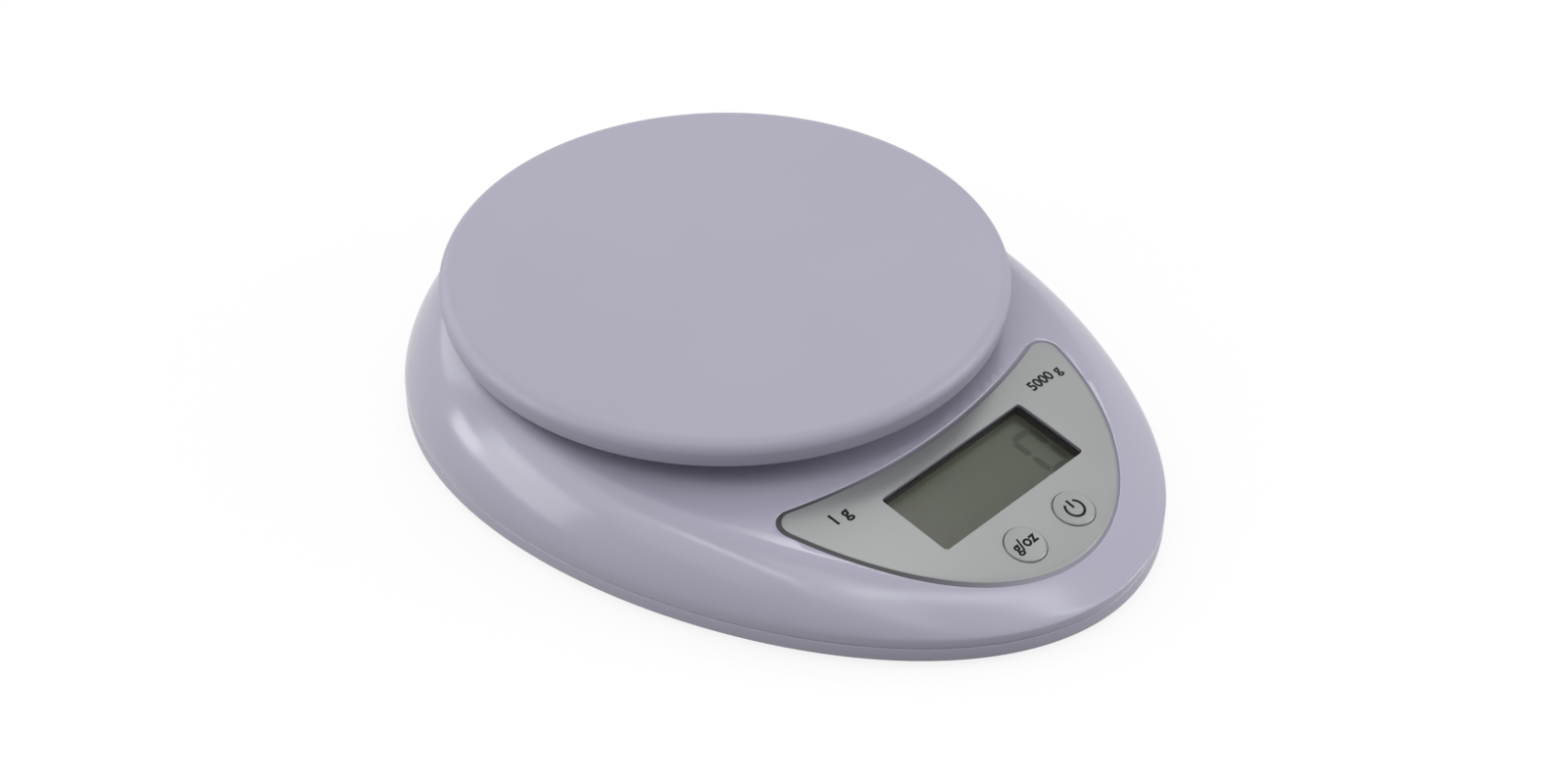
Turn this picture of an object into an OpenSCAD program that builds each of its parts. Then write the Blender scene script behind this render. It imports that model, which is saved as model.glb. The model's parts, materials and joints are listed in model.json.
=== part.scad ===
// Digital kitchen scale: an egg-shaped base with a round weighing platform at the back and a sloping
// panel with a display and two keys at the front. Millimetres, +Z up, +Y to the back. The origin is on
// the table, in the middle of the base. The panel's own frame has its origin on the panel at the middle
// of the display: +X to the right, +Y up the slope, +Z square out of the panel.

/* [Base] */
// Width of the base over its widest line
base_w = 171.5; // [160:0.5:190]
// Length of the base from front to back
base_l = 218.5; // [208:0.5:240]
// How much fuller the back half of the outline is than the front half
egg_share = 0.15; // [0.08:0.01:0.2]
// How square the two ends of the outline are
end_share = 0.02; // [-0.02:0.005:0.05]
// Height of the base's widest line over the table
side_z = 9; // [8:0.25:11]
// Width of the rounded shoulder at the front
shoulder_front = 13; // [10:0.5:16]
// Width of the rounded shoulder at the back
shoulder_back = 16; // [12:0.5:22]
// Roundness of the shoulder, where 1 is a chamfer and 2 is an ellipse
shoulder_power = 1.5; // [1.2:0.05:2.2]
// Height of the housing's top under the middle of the platform
top_mid = 28.2; // [26:0.1:29.5]
// Slope of the housing's top in degrees, rising to the back
top_lean = 3.66; // [2:0.05:4]
// Distance from the front of the base to where the panel starts to curve down
dip_in = 79.25; // [70:0.25:90]
// Extra fall of the curved panel by the front end of the base
dip_drop = 8.8; // [7:0.1:10]
// Thickness of the housing and of the cover's side wall
wall = 2.2; // [1.8:0.1:2.6]
// Height of the seam between the housing and the bottom cover
seam_z = 6.5; // [6:0.1:7]
// Width and height of the bevel on each side of the seam
seam_bevel = 0.4; // [0.2:0.05:0.6]
// Height of the tongue of the bottom cover inside the housing
tongue_h = 1.9; // [1.2:0.1:2.4]
// Rounding of the bottom cover's lower edge
cover_round = 1.2; // [0.6:0.1:2]
// Thickness of the bottom cover's floor
floor_t = 2; // [1.6:0.1:2.4]
// Height of the stiffening ribs on the floor
floor_rib_h = 1.5; // [0.8:0.1:2]
// Height of the ribs under the housing's top
housing_rib_h = 3.5; // [2:0.1:4]
// Thickness of ribs on the floor and in the housing
rib_t = 1.4; // [1:0.1:2]

/* [Platform] */
// Diameter of the weighing platform
platform_d = 150; // [140:0.5:156]
// Distance from the back of the base to the platform's axis
platform_in = 84.75; // [81:0.25:89]
// Height of the platform's top over the table
platform_top = 40.6; // [39.8:0.1:44]
// Thickness of the platform's flat top
platform_skin = 2.5; // [2:0.1:3]
// Height of the platform's rim
rim_h = 7.4; // [6:0.1:8]
// Thickness of the platform's rim
rim_t = 2.2; // [1.8:0.1:2.6]
// Rounding of the platform's upper edge
rim_round = 3.5; // [2.5:0.1:4.5]
// How far the rim draws in at its lower edge
rim_draft = 0.6; // [0:0.1:1]
// Number of short ribs inside the platform's rim
rim_ribs = 24; // [12:4:32]
// Thickness of the platform's ring that clips round the carrier
clip_ring_t = 2; // [1.6:0.1:2.4]
// Reach of a clip hook under the carrier
clip_reach = 1; // [0.6:0.1:1.4]
// Height of a clip hook
clip_h = 1; // [0.8:0.1:1.4]
// Full travel of the platform down to its stop
platform_travel = 0.6; // [0.4:0.05:0.8]

/* [Carrier] */
// Diameter of the platform carrier
carrier_d = 116; // [100:1:122]
// Thickness of the carrier's disc
carrier_t = 2.5; // [2:0.1:3]
// Height of the carrier's ribs
carrier_rib_h = 1.8; // [1:0.1:2]
// Number of spokes under the carrier
carrier_spokes = 12; // [8:2:16]
// Length of the carrier's foot along the load cell
foot_l = 27; // [25:0.5:28]
// Width of the carrier's foot across the load cell
foot_w = 18; // [16:0.5:20]
// Gap round the carrier's foot where it passes through the housing
foot_gap = 2; // [1.5:0.1:3]
// Height of the splash collar round that opening
collar_h = 1.8; // [1:0.1:2.2]

/* [Load cell] */
// Length of the load cell
cell_l = 80; // [76:0.5:84]
// Width of the load cell
cell_w = 12.7; // [12:0.1:14]
// Height of the load cell
cell_h = 12.7; // [12:0.1:13.5]
// Height of the pad that carries the load cell's fixed end
cell_pad_h = 2.5; // [2:0.1:3]
// Distance from a load cell's end to its first screw
cell_screw_in = 5; // [4:0.25:6]
// Distance between the two screws at one end
cell_screw_step = 15; // [14:0.25:16]
// Diameter of the two round cuts that let the cell bend
flex_d = 9.5; // [8:0.1:10]
// Distance between those two cuts
flex_step = 16; // [14:0.5:18]
// Height of the slot that joins them
flex_slot = 4; // [3:0.1:5]
// Thickness of the rubber coating over the strain gauges
coating_t = 1.1; // [0.8:0.1:1.3]
// Length of that coating
coating_l = 24; // [20:0.5:26]
// Diameter of the load cell screws
cell_screw_d = 4; // [3.5:0.1:4.2]
// Diameter of their heads
cell_head_d = 7.4; // [6.8:0.1:7.8]
// Height of their heads
cell_head_h = 2.2; // [1.8:0.1:2.4]
// Length of their shanks
cell_screw_l = 9.5; // [8.5:0.1:10.5]

/* [Panel label] */
// Distance from the front of the base to the label's front edge
label_in = 11.6; // [11:0.05:13.5]
// Length of the label on its middle line
label_l = 48.6; // [46:0.1:50]
// Half the width of the ellipse that the label's front edge follows
label_half = 54.6; // [52:0.1:56]
// Distance from the front edge back to the widest line of that ellipse
label_bow = 78; // [70:0.1:85]
// How far the back edge comes back at the tips
label_back_bow = 8.4; // [5:0.1:9]
// Distance of the label's recess to the left of the base's middle line
label_left = 1.1; // [0:0.05:1.5]
// Rounding of the label's tips
label_tip_r = 4; // [3:0.25:5]
// Thickness of the label
label_t = 1; // [0.8:0.05:1.1]
// Depth of the label's face below the housing's surface
label_sink = 0.1; // [0:0.05:0.2]
// Width of the groove left round the label
label_gap = 0.95; // [0.6:0.05:1.1]
// How far the label sits to the right of its recess's middle
label_shift = 0.5; // [0:0.05:0.5]

/* [Display] */
// Distance from the front of the base to the display's middle
display_in = 43.85; // [42:0.05:46]
// Width of the display window
window_w = 52.7; // [48:0.1:54]
// Height of the display window along the slope
window_h = 21.8; // [20:0.1:23]
// Thickness of the clear window's flange under the label
pane_t = 0.5; // [0.4:0.05:0.6]
// Width of that flange all round
pane_seat = 1.6; // [1.2:0.1:2]
// Wall thickness of the black display shroud
shroud_t = 1.4; // [1:0.1:1.8]
// Depth of the display glass below the panel
glass_depth = 4; // [3.5:0.1:4.4]
// Thickness of the display glass
glass_t = 2.4; // [2:0.1:2.8]
// Margin of the display glass round the window
glass_margin = 1.8; // [1.2:0.1:2.4]
// Thickness of the plastic frame that holds the glass
holder_t = 1.6; // [1.2:0.1:2]
// Width of a rubber connector strip under the glass
strip_w = 2; // [1.6:0.1:2.4]

/* [Circuit board] */
// Width of the circuit board
board_w = 64; // [62:0.5:68]
// Thickness of the circuit board
board_t = 1.6; // [1.2:0.1:1.8]
// Depth of the circuit board's top below the panel
board_depth = 9; // [8.8:0.1:9.4]
// Reach of the circuit board behind the display's middle
board_back = 21.5; // [21:0.5:24]
// Reach of the circuit board in front of the keys
board_front = 5; // [4.5:0.25:6]
// Diameter of the board's screw posts
post_d = 5.6; // [5:0.1:6.4]
// Distance from the board's edges to its screws
post_in = 3.4; // [3.2:0.1:4]
// Diameter of the board's screws
board_screw_d = 2.2; // [2:0.1:2.4]
// Length of the board's screws
board_screw_l = 6; // [5:0.5:7]

/* [Keys] */
// Distance from the front of the base to the keys
key_in = 22.25; // [21:0.05:23.5]
// Distance of each key from the middle line
key_x = 9.4; // [8:0.1:12]
// Diameter of a key
key_d = 10.8; // [9:0.1:12]
// Gap round a key
key_gap = 0.3; // [0.25:0.05:0.4]
// Height of a key's face over the housing's surface
key_rise = 0.45; // [0.1:0.05:0.8]
// Travel of a key
key_travel = 0.3; // [0.2:0.05:0.4]
// Reach of a key's hidden flange past its face
flange_reach = 1.1; // [0.8:0.1:1.4]
// Thickness of that flange
flange_t = 0.7; // [0.6:0.05:0.9]
// Side of the square switch body
switch_w = 6; // [5.8:0.1:6.2]
// Height of the switch body
switch_h = 3.4; // [3.2:0.05:3.6]
// Diameter of the switch's plunger
plunger_d = 3.4; // [3:0.1:3.6]
// Height of the plunger over the switch body
plunger_h = 0.9; // [0.7:0.05:1.1]

/* [Batteries] */
// Diameter of a battery cell
battery_d = 10.5; // [10:0.1:11]
// Length of a battery cell with its nub
battery_l = 44.5; // [43:0.1:46]
// Distance from the back of the base to the battery compartment's middle
battery_in = 43.25; // [41:0.25:46]
// Distance between the axes of the two cells
battery_step = 11.2; // [11:0.1:12]
// Room for a spring between a cell and the wall
spring_l = 5.4; // [4.5:0.1:6]
// Diameter of the spring's wire
spring_wire = 0.7; // [0.5:0.05:0.8]
// Turns of a spring
spring_turns = 3.5; // [2.5:0.5:4.5]
// Thickness of the contact plates
contact_t = 0.4; // [0.3:0.05:0.6]
// Wall thickness of the battery compartment
tub_t = 1.5; // [1.2:0.1:1.8]
// Thickness of the battery door
door_t = 1.7; // [1.5:0.05:1.8]
// Ledge of the battery door past the compartment's opening
door_ledge = 2; // [1.6:0.1:2.6]
// Gap round the battery door
door_gap = 0.35; // [0.3:0.05:0.5]
// Number of grip ridges on the battery door's latch
latch_ridges = 4; // [3:1:5]

/* [Screws and feet] */
// Diameter of a rubber foot
foot_pad_d = 12; // [10:0.5:14]
// Height of a rubber foot under the cover
foot_pad_h = 2; // [1.5:0.1:2.5]
// Depth of a foot's seat in the cover
foot_seat = 0.7; // [0.5:0.1:0.9]
// Diameter of the housing screws
screw_d = 2.9; // [2.6:0.1:3]
// Diameter of their heads
screw_head_d = 5.4; // [5:0.1:5.8]
// Height of their heads
screw_head_h = 1.7; // [1.4:0.1:1.9]
// Length of their shanks
screw_l = 10; // [8:0.5:11]
// Diameter of the screw pillars in the housing
pillar_d = 7; // [6.4:0.1:8]
// Distance of the screws from the edge of the base
pillar_in = 10; // [9:0.25:12]

/* [Hidden] */

$fn = 64;
// Facets round the base, and the small overlap that keeps cuts and joins clean
sides = 72;
eps = 0.02;
// Clearance between fitted pieces, and round a shaft or screw in its hole
fit = 0.15;
bore_fit = 0.05;

// Half the length of the base, and the places along it that are set from its two ends
half_y = base_l / 2;
dip_y = dip_in - half_y;
label_front = label_in - half_y;
label_back = label_front + label_l;
display_y = display_in - half_y;
key_y = key_in - half_y;
platform_y = half_y - platform_in;
battery_y = half_y - battery_in;
// Heights that follow from the stack of pieces
floor_z = foot_pad_h;
inside_z = floor_z + floor_t;
cell_z = inside_z + cell_pad_h;
cell_top = cell_z + cell_h;
rim_z = platform_top - rim_h;
under_skin_z = platform_top - platform_skin;
carrier_z = under_skin_z - carrier_t;
panel_tilt = atan(top_slope(display_y));
key_v = in_panel(key_y)[0];
key_w = in_panel(key_y)[1];
plunger_top = switch_h + plunger_h - board_depth;
board_v0 = key_v - board_front;
board_v = board_v0 + (board_back - board_v0) / 2;
board_l = board_back - board_v0;

// The outline of the base. The angle runs clockwise from the back as seen from above.
function egg(a) = 1 + egg_share * cos(a) + end_share * cos(2 * a);
egg_most = max([for (a = [60:1:110]) sin(a) * egg(a)]);
half_x = base_w / 2 / egg_most;
function edge(a) = [half_x * sin(a) * egg(a), half_y * cos(a)];
function along(a) = [
    half_x * (cos(a) * egg(a) - sin(a) * (egg_share * sin(a) + 2 * end_share * sin(2 * a))),
    -half_y * sin(a)
];
function outward(a) = [-along(a)[1], along(a)[0]] / norm(along(a));
// The point of the outline at this angle, moved in by d
function inset(a, d) = edge(a) - d * outward(a);

// The height of the housing's top on the middle of the base, and its slope
function past_dip(y) = max(0, dip_y - y) / dip_in;
function top_z(y) = top_mid + tan(top_lean) * (y - platform_y) - dip_drop * pow(past_dip(y), 2);
function top_slope(y) = tan(top_lean) + 2 * dip_drop * past_dip(y) / dip_in;
// A point of the panel at this place along the base, in the panel's own frame
function in_panel(y) = let (dy = y - display_y, dz = top_z(y) - top_z(display_y)) [
    dy * cos(panel_tilt) + dz * sin(panel_tilt),
    dz * cos(panel_tilt) - dy * sin(panel_tilt)
];

// The shoulder: u runs from 0 at the widest line to 1 where the top begins
function shoulder(a) = shoulder_front + (shoulder_back - shoulder_front) * (1 + cos(a)) / 2;
function crown(u) = pow(1 - pow(1 - u, shoulder_power), 1 / shoulder_power);
function flat_ring(d, z) = [
    for (i = [0:sides - 1]) let (p = inset(i * 360 / sides, d)) [p[0], p[1], z]
];
function crown_ring(u, skin) = [
    for (i = [0:sides - 1])
        let (a = i * 360 / sides, p = inset(a, skin + u * shoulder(a)))
            [p[0], p[1], side_z + (top_z(p[1]) - skin - side_z) * crown(u)]
];
// The top inside the shoulder: the shoulder's last ring drawn in towards the middle
function top_ring(s, skin) = [
    for (p = crown_ring(1, skin)) let (y = platform_y / 2 + s * (p[1] - platform_y / 2))
        [s * p[0], y, top_z(y) - skin]
];

// A closed solid through rings of points, from the lowest ring up, closed over the last ring by a fan
module ring_solid(rings, peak) {
    n = len(rings[0]);
    last = len(rings) - 1;
    points = concat([for (ring = rings) each ring], [peak]);
    polyhedron(points, concat(
        [[for (i = [n - 1:-1:0]) i]],
        [for (k = [0:last - 1], i = [0:n - 1]) let (j = (i + 1) % n)
            [k * n + i, (k + 1) * n + j, (k + 1) * n + i]],
        [for (k = [0:last - 1], i = [0:n - 1]) let (j = (i + 1) % n)
            [k * n + i, k * n + j, (k + 1) * n + j]],
        [for (i = [0:n - 1]) [last * n + i, last * n + (i + 1) % n, len(points) - 1]]
    ));
}

// The base's flat outline, moved in by d
module outline(d) {
    polygon([for (i = [0:sides - 1]) inset(i * 360 / sides, d)]);
}

// A sheet that follows the housing's top, between two heights measured from it
module top_sheet(low, high, y0, y1, half_w) {
    steps = 16;
    ys = [for (i = [0:steps]) y0 + (y1 - y0) * i / steps];
    rotate([90, 0, 90])
        translate([0, 0, -half_w])
            linear_extrude(2 * half_w)
                polygon(concat(
                    [for (y = ys) [y, top_z(y) + high]],
                    [for (i = [steps:-1:0]) [ys[i], top_z(ys[i]) + low]]
                ));
}

module at_panel() {
    translate([0, display_y, top_z(display_y)])
        rotate([panel_tilt, 0, 0])
            children();
}

// A block centred in X and Y, standing on z
module block(w, l, z, h) {
    translate([-w / 2, -l / 2, z])
        cube([w, l, h]);
}

// A flat rectangle with round corners, centred
module round_rect(w, l, r) {
    square([w - 2 * r, l], center = true);
    square([w, l - 2 * r], center = true);
    for (x = [-1, 1], y = [-1, 1])
        translate([x * (w / 2 - r), y * (l / 2 - r)])
            circle(r);
}

// A rectangular frame with its opening centred, standing on z
module frame(w, l, t, z, h) {
    difference() {
        block(w + 2 * t, l + 2 * t, z, h);
        block(w, l, z - 1, h + 2);
    }
}

// Places of the screws, feet and posts
screw_angles = [40, 130, 230, 320];
foot_angles = [24, 148, 212, 336];
foot_in = 13;
cell_x0 = -cell_l / 2;
fixed_screws = [cell_x0 + cell_screw_in, cell_x0 + cell_screw_in + cell_screw_step];
free_screws = [-fixed_screws[1], -fixed_screws[0]];
foot_x = (free_screws[0] + free_screws[1]) / 2;
posts = [for (x = [-1, 1], v = [board_v0 + post_in, board_back - post_in])
    [x * (board_w / 2 - post_in), v]];
boss_h = seam_z + tongue_h - inside_z;
boss_top = inside_z + boss_h;
boss_seat = floor_z + screw_head_h + 0.5;

module at_screws() {
    for (a = screw_angles)
        translate([inset(a, pillar_in)[0], inset(a, pillar_in)[1], 0])
            children();
}

module at_feet() {
    for (a = foot_angles)
        translate([inset(a, foot_in)[0], inset(a, foot_in)[1], 0])
            children();
}

// Sizes of the battery compartment
tub_w = battery_l + spring_l + 2 * contact_t + 1;
tub_l = battery_step + battery_d + 1;
tub_top = inside_z + battery_d + 1.2;
battery_z = floor_z + door_t + 0.5 + battery_d / 2;
door_w = tub_w + 2 * door_ledge;
door_l = tub_l + 2 * door_ledge;
tab_w = 8;
tab_x = tub_w / 2 - tab_w;
tab_reach = 2.4;
tab_t = 1;
tab_z = inside_z + fit;
door_seat_t = 1;
solder_w = 3;
solder_out = 2;

// The outer and inner skins of the base
module cover_outside() {
    ring_solid([
        flat_ring(cover_round, floor_z),
        flat_ring(cover_round * 0.35, floor_z + cover_round * 0.35),
        flat_ring(cover_round * 0.15, floor_z + cover_round),
        flat_ring(0, seam_z - seam_bevel),
        flat_ring(seam_bevel, seam_z)
    ], [0, 0, seam_z]);
}

module housing_outside() {
    shoulder_steps = [0, 0.02, 0.07, 0.16, 0.3, 0.48, 0.72, 1];
    top_steps = [0.86, 0.72, 0.58, 0.42, 0.2];
    ring_solid(concat(
        [flat_ring(seam_bevel, seam_z), flat_ring(0, seam_z + seam_bevel)],
        [for (u = shoulder_steps) crown_ring(u, 0)],
        [for (s = top_steps) top_ring(s, 0)]
    ), [0, platform_y / 2, top_z(platform_y / 2)]);
}

module housing_inside() {
    shoulder_steps = [0, 0.1, 0.3, 0.6, 1];
    top_steps = [0.8, 0.6, 0.3];
    ring_solid(concat(
        [flat_ring(wall, seam_z - 1)],
        [for (u = shoulder_steps) crown_ring(u, wall)],
        [for (s = top_steps) top_ring(s, wall)]
    ), [0, platform_y / 2, top_z(platform_y / 2) - wall]);
}

// The label's outline seen from above, made larger by grow
module label_plan(grow) {
    // How far round the ellipse the front edge runs before it meets the back edge
    tip_turn = acos(1 - (label_l + label_back_bow) / label_bow);
    steps = 14;
    us = [for (i = [-steps:steps]) i / steps];
    offset(delta = grow)
        offset(r = label_tip_r, $fn = 32)
            offset(delta = -label_tip_r)
                polygon(concat(
                    [for (u = us) [label_half * sin(u * tip_turn),
                        label_front + label_bow * (1 - cos(u * tip_turn))]],
                    [for (i = [2 * steps - 2:-2:2]) let (u = us[i])
                        [u * label_half * sin(tip_turn), label_back + label_back_bow * pow(u, 2)]]
                ));
}

// The label's outline between two heights measured from the housing's surface
module label_body(grow, low, high) {
    intersection() {
        linear_extrude(platform_top)
            translate([-label_left, 0])
                label_plan(grow);
        top_sheet(low, high, label_front - 3, label_back + label_back_bow + 3, base_w / 2);
    }
}

module top_housing() {
    color("#c9c6d8")
        difference() {
            union() {
                difference() {
                    housing_outside();
                    difference() {
                        union() {
                            housing_inside();
                            translate([0, 0, seam_z - 1])
                                linear_extrude(tongue_h + fit + 1)
                                    outline(wall / 2);
                        }
                        housing_pillars();
                        board_posts();
                        housing_ribs();
                        window_rim();
                    }
                }
                foot_collar();
            }
            label_body(label_gap, -label_sink - label_t, 3);
            at_panel() {
                block(window_w + 2 * shroud_t + 2 * fit, window_h + 2 * shroud_t + 2 * fit, -wall * 2, 10);
                block(pane_w() + 2 * fit, pane_h() + 2 * fit, pane_z(), 10);
                for (x = [-key_x, key_x])
                    translate([x, key_v, key_w - 2 * wall])
                        cylinder(h = 10, d = key_d + 2 * key_gap);
            }
            translate([foot_x, platform_y, 0])
                linear_extrude(platform_top)
                    round_rect(foot_l + 2 * foot_gap, foot_w + 2 * foot_gap, 3);
        }
}

// Pillars for the housing screws, open at the bottom, standing on the cover's bosses
module housing_pillars() {
    at_screws()
        difference() {
            translate([0, 0, boss_top])
                cylinder(h = platform_top, d = pillar_d);
            translate([0, 0, boss_top - eps])
                cylinder(h = screw_l, d = screw_d + 2 * bore_fit);
        }
}

// Ribs under the housing's top, round the opening for the carrier's foot
module housing_ribs() {
    side_x = foot_x + foot_l / 2 + foot_gap + 2 * rib_t + 1;
    side_y = foot_w + foot_gap + 2 * rib_t + 1;
    for (x = [-side_x, side_x])
        translate([x, platform_y, top_mid - wall - housing_rib_h])
            block(rib_t, carrier_d, 0, platform_top);
    for (y = [platform_y - side_y, platform_y + side_y])
        translate([0, y, top_z(y) - wall - housing_rib_h])
            block(carrier_d, rib_t, 0, platform_top);
}

// A rim under the panel that stiffens the edge of the display's opening
window_rim_h = 1;
module window_rim() {
    at_panel()
        frame(window_w + 2 * shroud_t + 2 * fit, window_h + 2 * shroud_t + 2 * fit, pane_seat + rib_t,
            -wall - window_rim_h, wall);
}

module board_posts() {
    at_panel()
        for (p = posts)
            translate([p[0], p[1], -board_depth])
                difference() {
                    cylinder(h = board_depth, d = post_d);
                    translate([0, 0, -eps])
                        cylinder(h = board_screw_l - board_t + 0.5, d = board_screw_d + 2 * bore_fit);
                }
}

// A raised rim round the opening for the carrier's foot, which keeps spills out
module foot_collar() {
    z = top_z(platform_y);
    translate([foot_x, platform_y, z - wall])
        linear_extrude(wall + collar_h)
            round_rect(foot_l + 2 * foot_gap + 2 * rib_t, foot_w + 2 * foot_gap + 2 * rib_t, 3 + rib_t);
}

module bottom_cover() {
    color("#bfbccb")
        difference() {
            union() {
                difference() {
                    cover_outside();
                    translate([0, 0, inside_z])
                        linear_extrude(seam_z)
                            outline(wall);
                }
                difference() {
                    translate([0, 0, seam_z - eps])
                        linear_extrude(tongue_h + eps)
                            outline(wall / 2 + fit);
                    translate([0, 0, seam_z - 1])
                        linear_extrude(tongue_h + 2)
                            outline(wall);
                }
                at_screws()
                    translate([0, 0, inside_z - eps])
                        cylinder(h = boss_h + eps, d = pillar_d + 1);
                cell_pad();
                floor_ribs();
                translate([0, battery_y, inside_z - eps]) {
                    block(tub_w + 2 * tub_t, tub_l + 2 * tub_t, 0, tub_top - inside_z + tub_t + eps);
                    block(door_w + 2 * door_gap + 2 * rib_t, door_l + 2 * door_gap + 2 * rib_t, 0,
                        door_seat_t + eps);
                }
            }
            at_screws()
                screw_way();
            at_feet()
                translate([0, 0, floor_z - 1])
                    cylinder(h = 1 + foot_seat, d = foot_pad_d + 2 * bore_fit);
            for (x = fixed_screws)
                translate([x, platform_y, 0]) {
                    cylinder(h = floor_z + cell_head_h + 0.4, d = cell_head_d + 0.6);
                    cylinder(h = cell_z + 1, d = cell_screw_d + 0.4);
                }
            translate([0, battery_y, 0]) {
                block(tub_w, tub_l, 0, tub_top);
                block(door_w + 2 * door_gap, door_l + 2 * door_gap, 0, floor_z + door_t + fit);
            }
            for (x = [-tab_x, tab_x])
                translate([x, battery_y - door_l / 2, 0])
                    tab_way();
            for (y = [-battery_step / 2, battery_step / 2])
                translate([tub_w / 2, battery_y + y, battery_z])
                    block(2 * tub_t + 1, solder_w + 2 * fit, -contact_t / 2 - fit, contact_t + 2 * fit);
        }
}

// The way for a tab of the battery door over the floor, and down through the seat behind its edge
module tab_way() {
    room = tab_reach + 1;
    reach = room + door_ledge + 1;
    translate([0, reach / 2 - room, 0])
        block(tab_w + 1, reach, inside_z, tab_t + 3);
    translate([0, (door_ledge + 1 - door_gap) / 2, 0])
        block(tab_w + 1, door_ledge + 1 + door_gap, floor_z, tab_t + 3);
}

// The screw's way through a boss: the hole, and the recess for the head
module screw_way() {
    translate([0, 0, -1])
        cylinder(h = boss_seat + 1, d = screw_head_d + 0.6);
    cylinder(h = boss_top + 1, d = screw_d + 2 * fit);
}

// The pad under the load cell's fixed end, and the stop under its free end
module cell_pad() {
    translate([(fixed_screws[0] + fixed_screws[1]) / 2, platform_y, 0])
        block(cell_screw_step + 2 * cell_screw_in, cell_w + 4, inside_z - eps, cell_pad_h + eps);
    translate([free_screws[1], platform_y, 0])
        block(2 * cell_screw_in, cell_w, inside_z - eps, cell_pad_h - platform_travel - 0.3);
}

module floor_ribs() {
    clear = battery_y - tub_l / 2 - tub_t - door_ledge - tab_reach - 4;
    rear = clear - (platform_y + cell_w / 2 + 4);
    for (x = [-30, 0, 30])
        translate([x, -base_l / 8, 0])
            block(rib_t, base_l / 3, inside_z - eps, floor_rib_h);
    for (x = [-30, 0, 30])
        translate([x, clear - rear / 2, 0])
            block(rib_t, rear, inside_z - eps, floor_rib_h);
    for (y = [platform_y - cell_w / 2 - 6, platform_y - cell_w / 2 - 40])
        translate([0, y, 0])
            block(base_w * 0.72, rib_t, inside_z - eps, floor_rib_h);
}

module rubber_feet() {
    color("#4a4a4e")
        at_feet()
            rotate_extrude()
                polygon([
                    [0, 0], [foot_pad_d / 2 - 0.9, 0], [foot_pad_d / 2 - 0.4, 0.25], [foot_pad_d / 2, 0.8],
                    [foot_pad_d / 2, floor_z + foot_seat], [0, floor_z + foot_seat]
                ]);
}

// A pan-head screw that points up from its head's underside at z = 0
module screw_up(d, head_d, head_h, l) {
    difference() {
        rotate_extrude()
            polygon([
                [0, -head_h], [head_d / 2 - head_h * 0.45, -head_h], [head_d / 2, -head_h * 0.45],
                [head_d / 2, 0], [d / 2, 0], [d / 2, l - d / 2], [0, l]
            ]);
        for (turn = [0, 90])
            rotate([0, 0, turn])
                block(head_d * 0.55, head_d * 0.14, -head_h - 1, 1 + head_h * 0.5);
    }
}

module housing_screws() {
    color("#b9babd")
        at_screws()
            translate([0, 0, boss_seat])
                screw_up(screw_d, screw_head_d, screw_head_h, screw_l);
}

module cell_screws() {
    color("#c4c5c8")
        for (x = fixed_screws)
            translate([x, platform_y, floor_z + cell_head_h + 0.4])
                screw_up(cell_screw_d, cell_head_d, cell_head_h, cell_screw_l);
}

module panel_label() {
    color("#b9bdbb")
        difference() {
            translate([label_shift, 0, 0])
                label_body(0, -label_sink - label_t, -label_sink);
            at_panel() {
                block(window_w, window_h, -10, 20);
                for (x = [-key_x, key_x])
                    translate([x, key_v, key_w - 5])
                        cylinder(h = 10, d = key_d + 2 * key_gap);
            }
        }
}

// The clear window fills the label's opening, and its flange lies under the label in a seat of its own
function pane_w() = window_w + 2 * shroud_t + 2 * pane_seat;
function pane_h() = window_h + 2 * shroud_t + 2 * pane_seat;
function pane_z() = -label_sink - label_t - pane_sag - pane_t;
pane_sag = dip_drop * pow((window_h / 2 + shroud_t + pane_seat + 0.5) / dip_in, 2);

module display_window() {
    color("#dfe5e5", 0.35)
        at_panel() {
            block(pane_w(), pane_h(), pane_z(), pane_t);
            block(window_w - 2 * bore_fit, window_h - 2 * bore_fit, pane_z(),
                -label_sink - pane_sag / 2 - pane_z());
        }
}

module display_shroud() {
    color("#1d1f1e")
        at_panel()
            frame(window_w, window_h, shroud_t, -glass_depth, glass_depth + pane_z());
}

module display_glass() {
    color("#7d8377")
        at_panel()
            block(window_w + 2 * glass_margin, window_h + 2 * glass_margin, -glass_depth - glass_t, glass_t);
}

// The frame that stands on the board round the glass, with a ledge under the glass's edge
module display_holder() {
    w = window_w + 2 * glass_margin + 2 * fit;
    h = window_h + 2 * glass_margin + 2 * fit;
    color("#e4e4e0")
        at_panel() {
            frame(w, h, holder_t, -board_depth, board_depth - glass_depth - 1);
            for (x = [-1, 1])
                translate([x * (w / 2 - 0.6), 0, 0])
                    block(1.2 + 2 * eps, h, -board_depth, board_depth - glass_depth - glass_t);
        }
}

module display_connectors() {
    reach = window_h / 2 + glass_margin - strip_w / 2 - 0.4;
    color("#d98f86")
        at_panel()
            for (y = [-reach, reach])
                translate([0, y, 0])
                    block(window_w * 0.86, strip_w, -board_depth, board_depth - glass_depth - glass_t);
}

module main_board() {
    color("#2f6b46")
        at_panel()
            difference() {
                translate([0, board_v, -board_depth - board_t])
                    linear_extrude(board_t)
                        round_rect(board_w, board_l, 1.5);
                for (p = posts)
                    translate([p[0], p[1], -board_depth - 2 * board_t])
                        cylinder(h = 3 * board_t, d = board_screw_d + 2 * fit);
            }
}

module board_screws() {
    color("#b9babd")
        at_panel()
            for (p = posts)
                translate([p[0], p[1], -board_depth - board_t])
                    screw_up(board_screw_d, board_screw_d * 1.8, board_screw_d * 0.6, board_screw_l);
}

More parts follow.
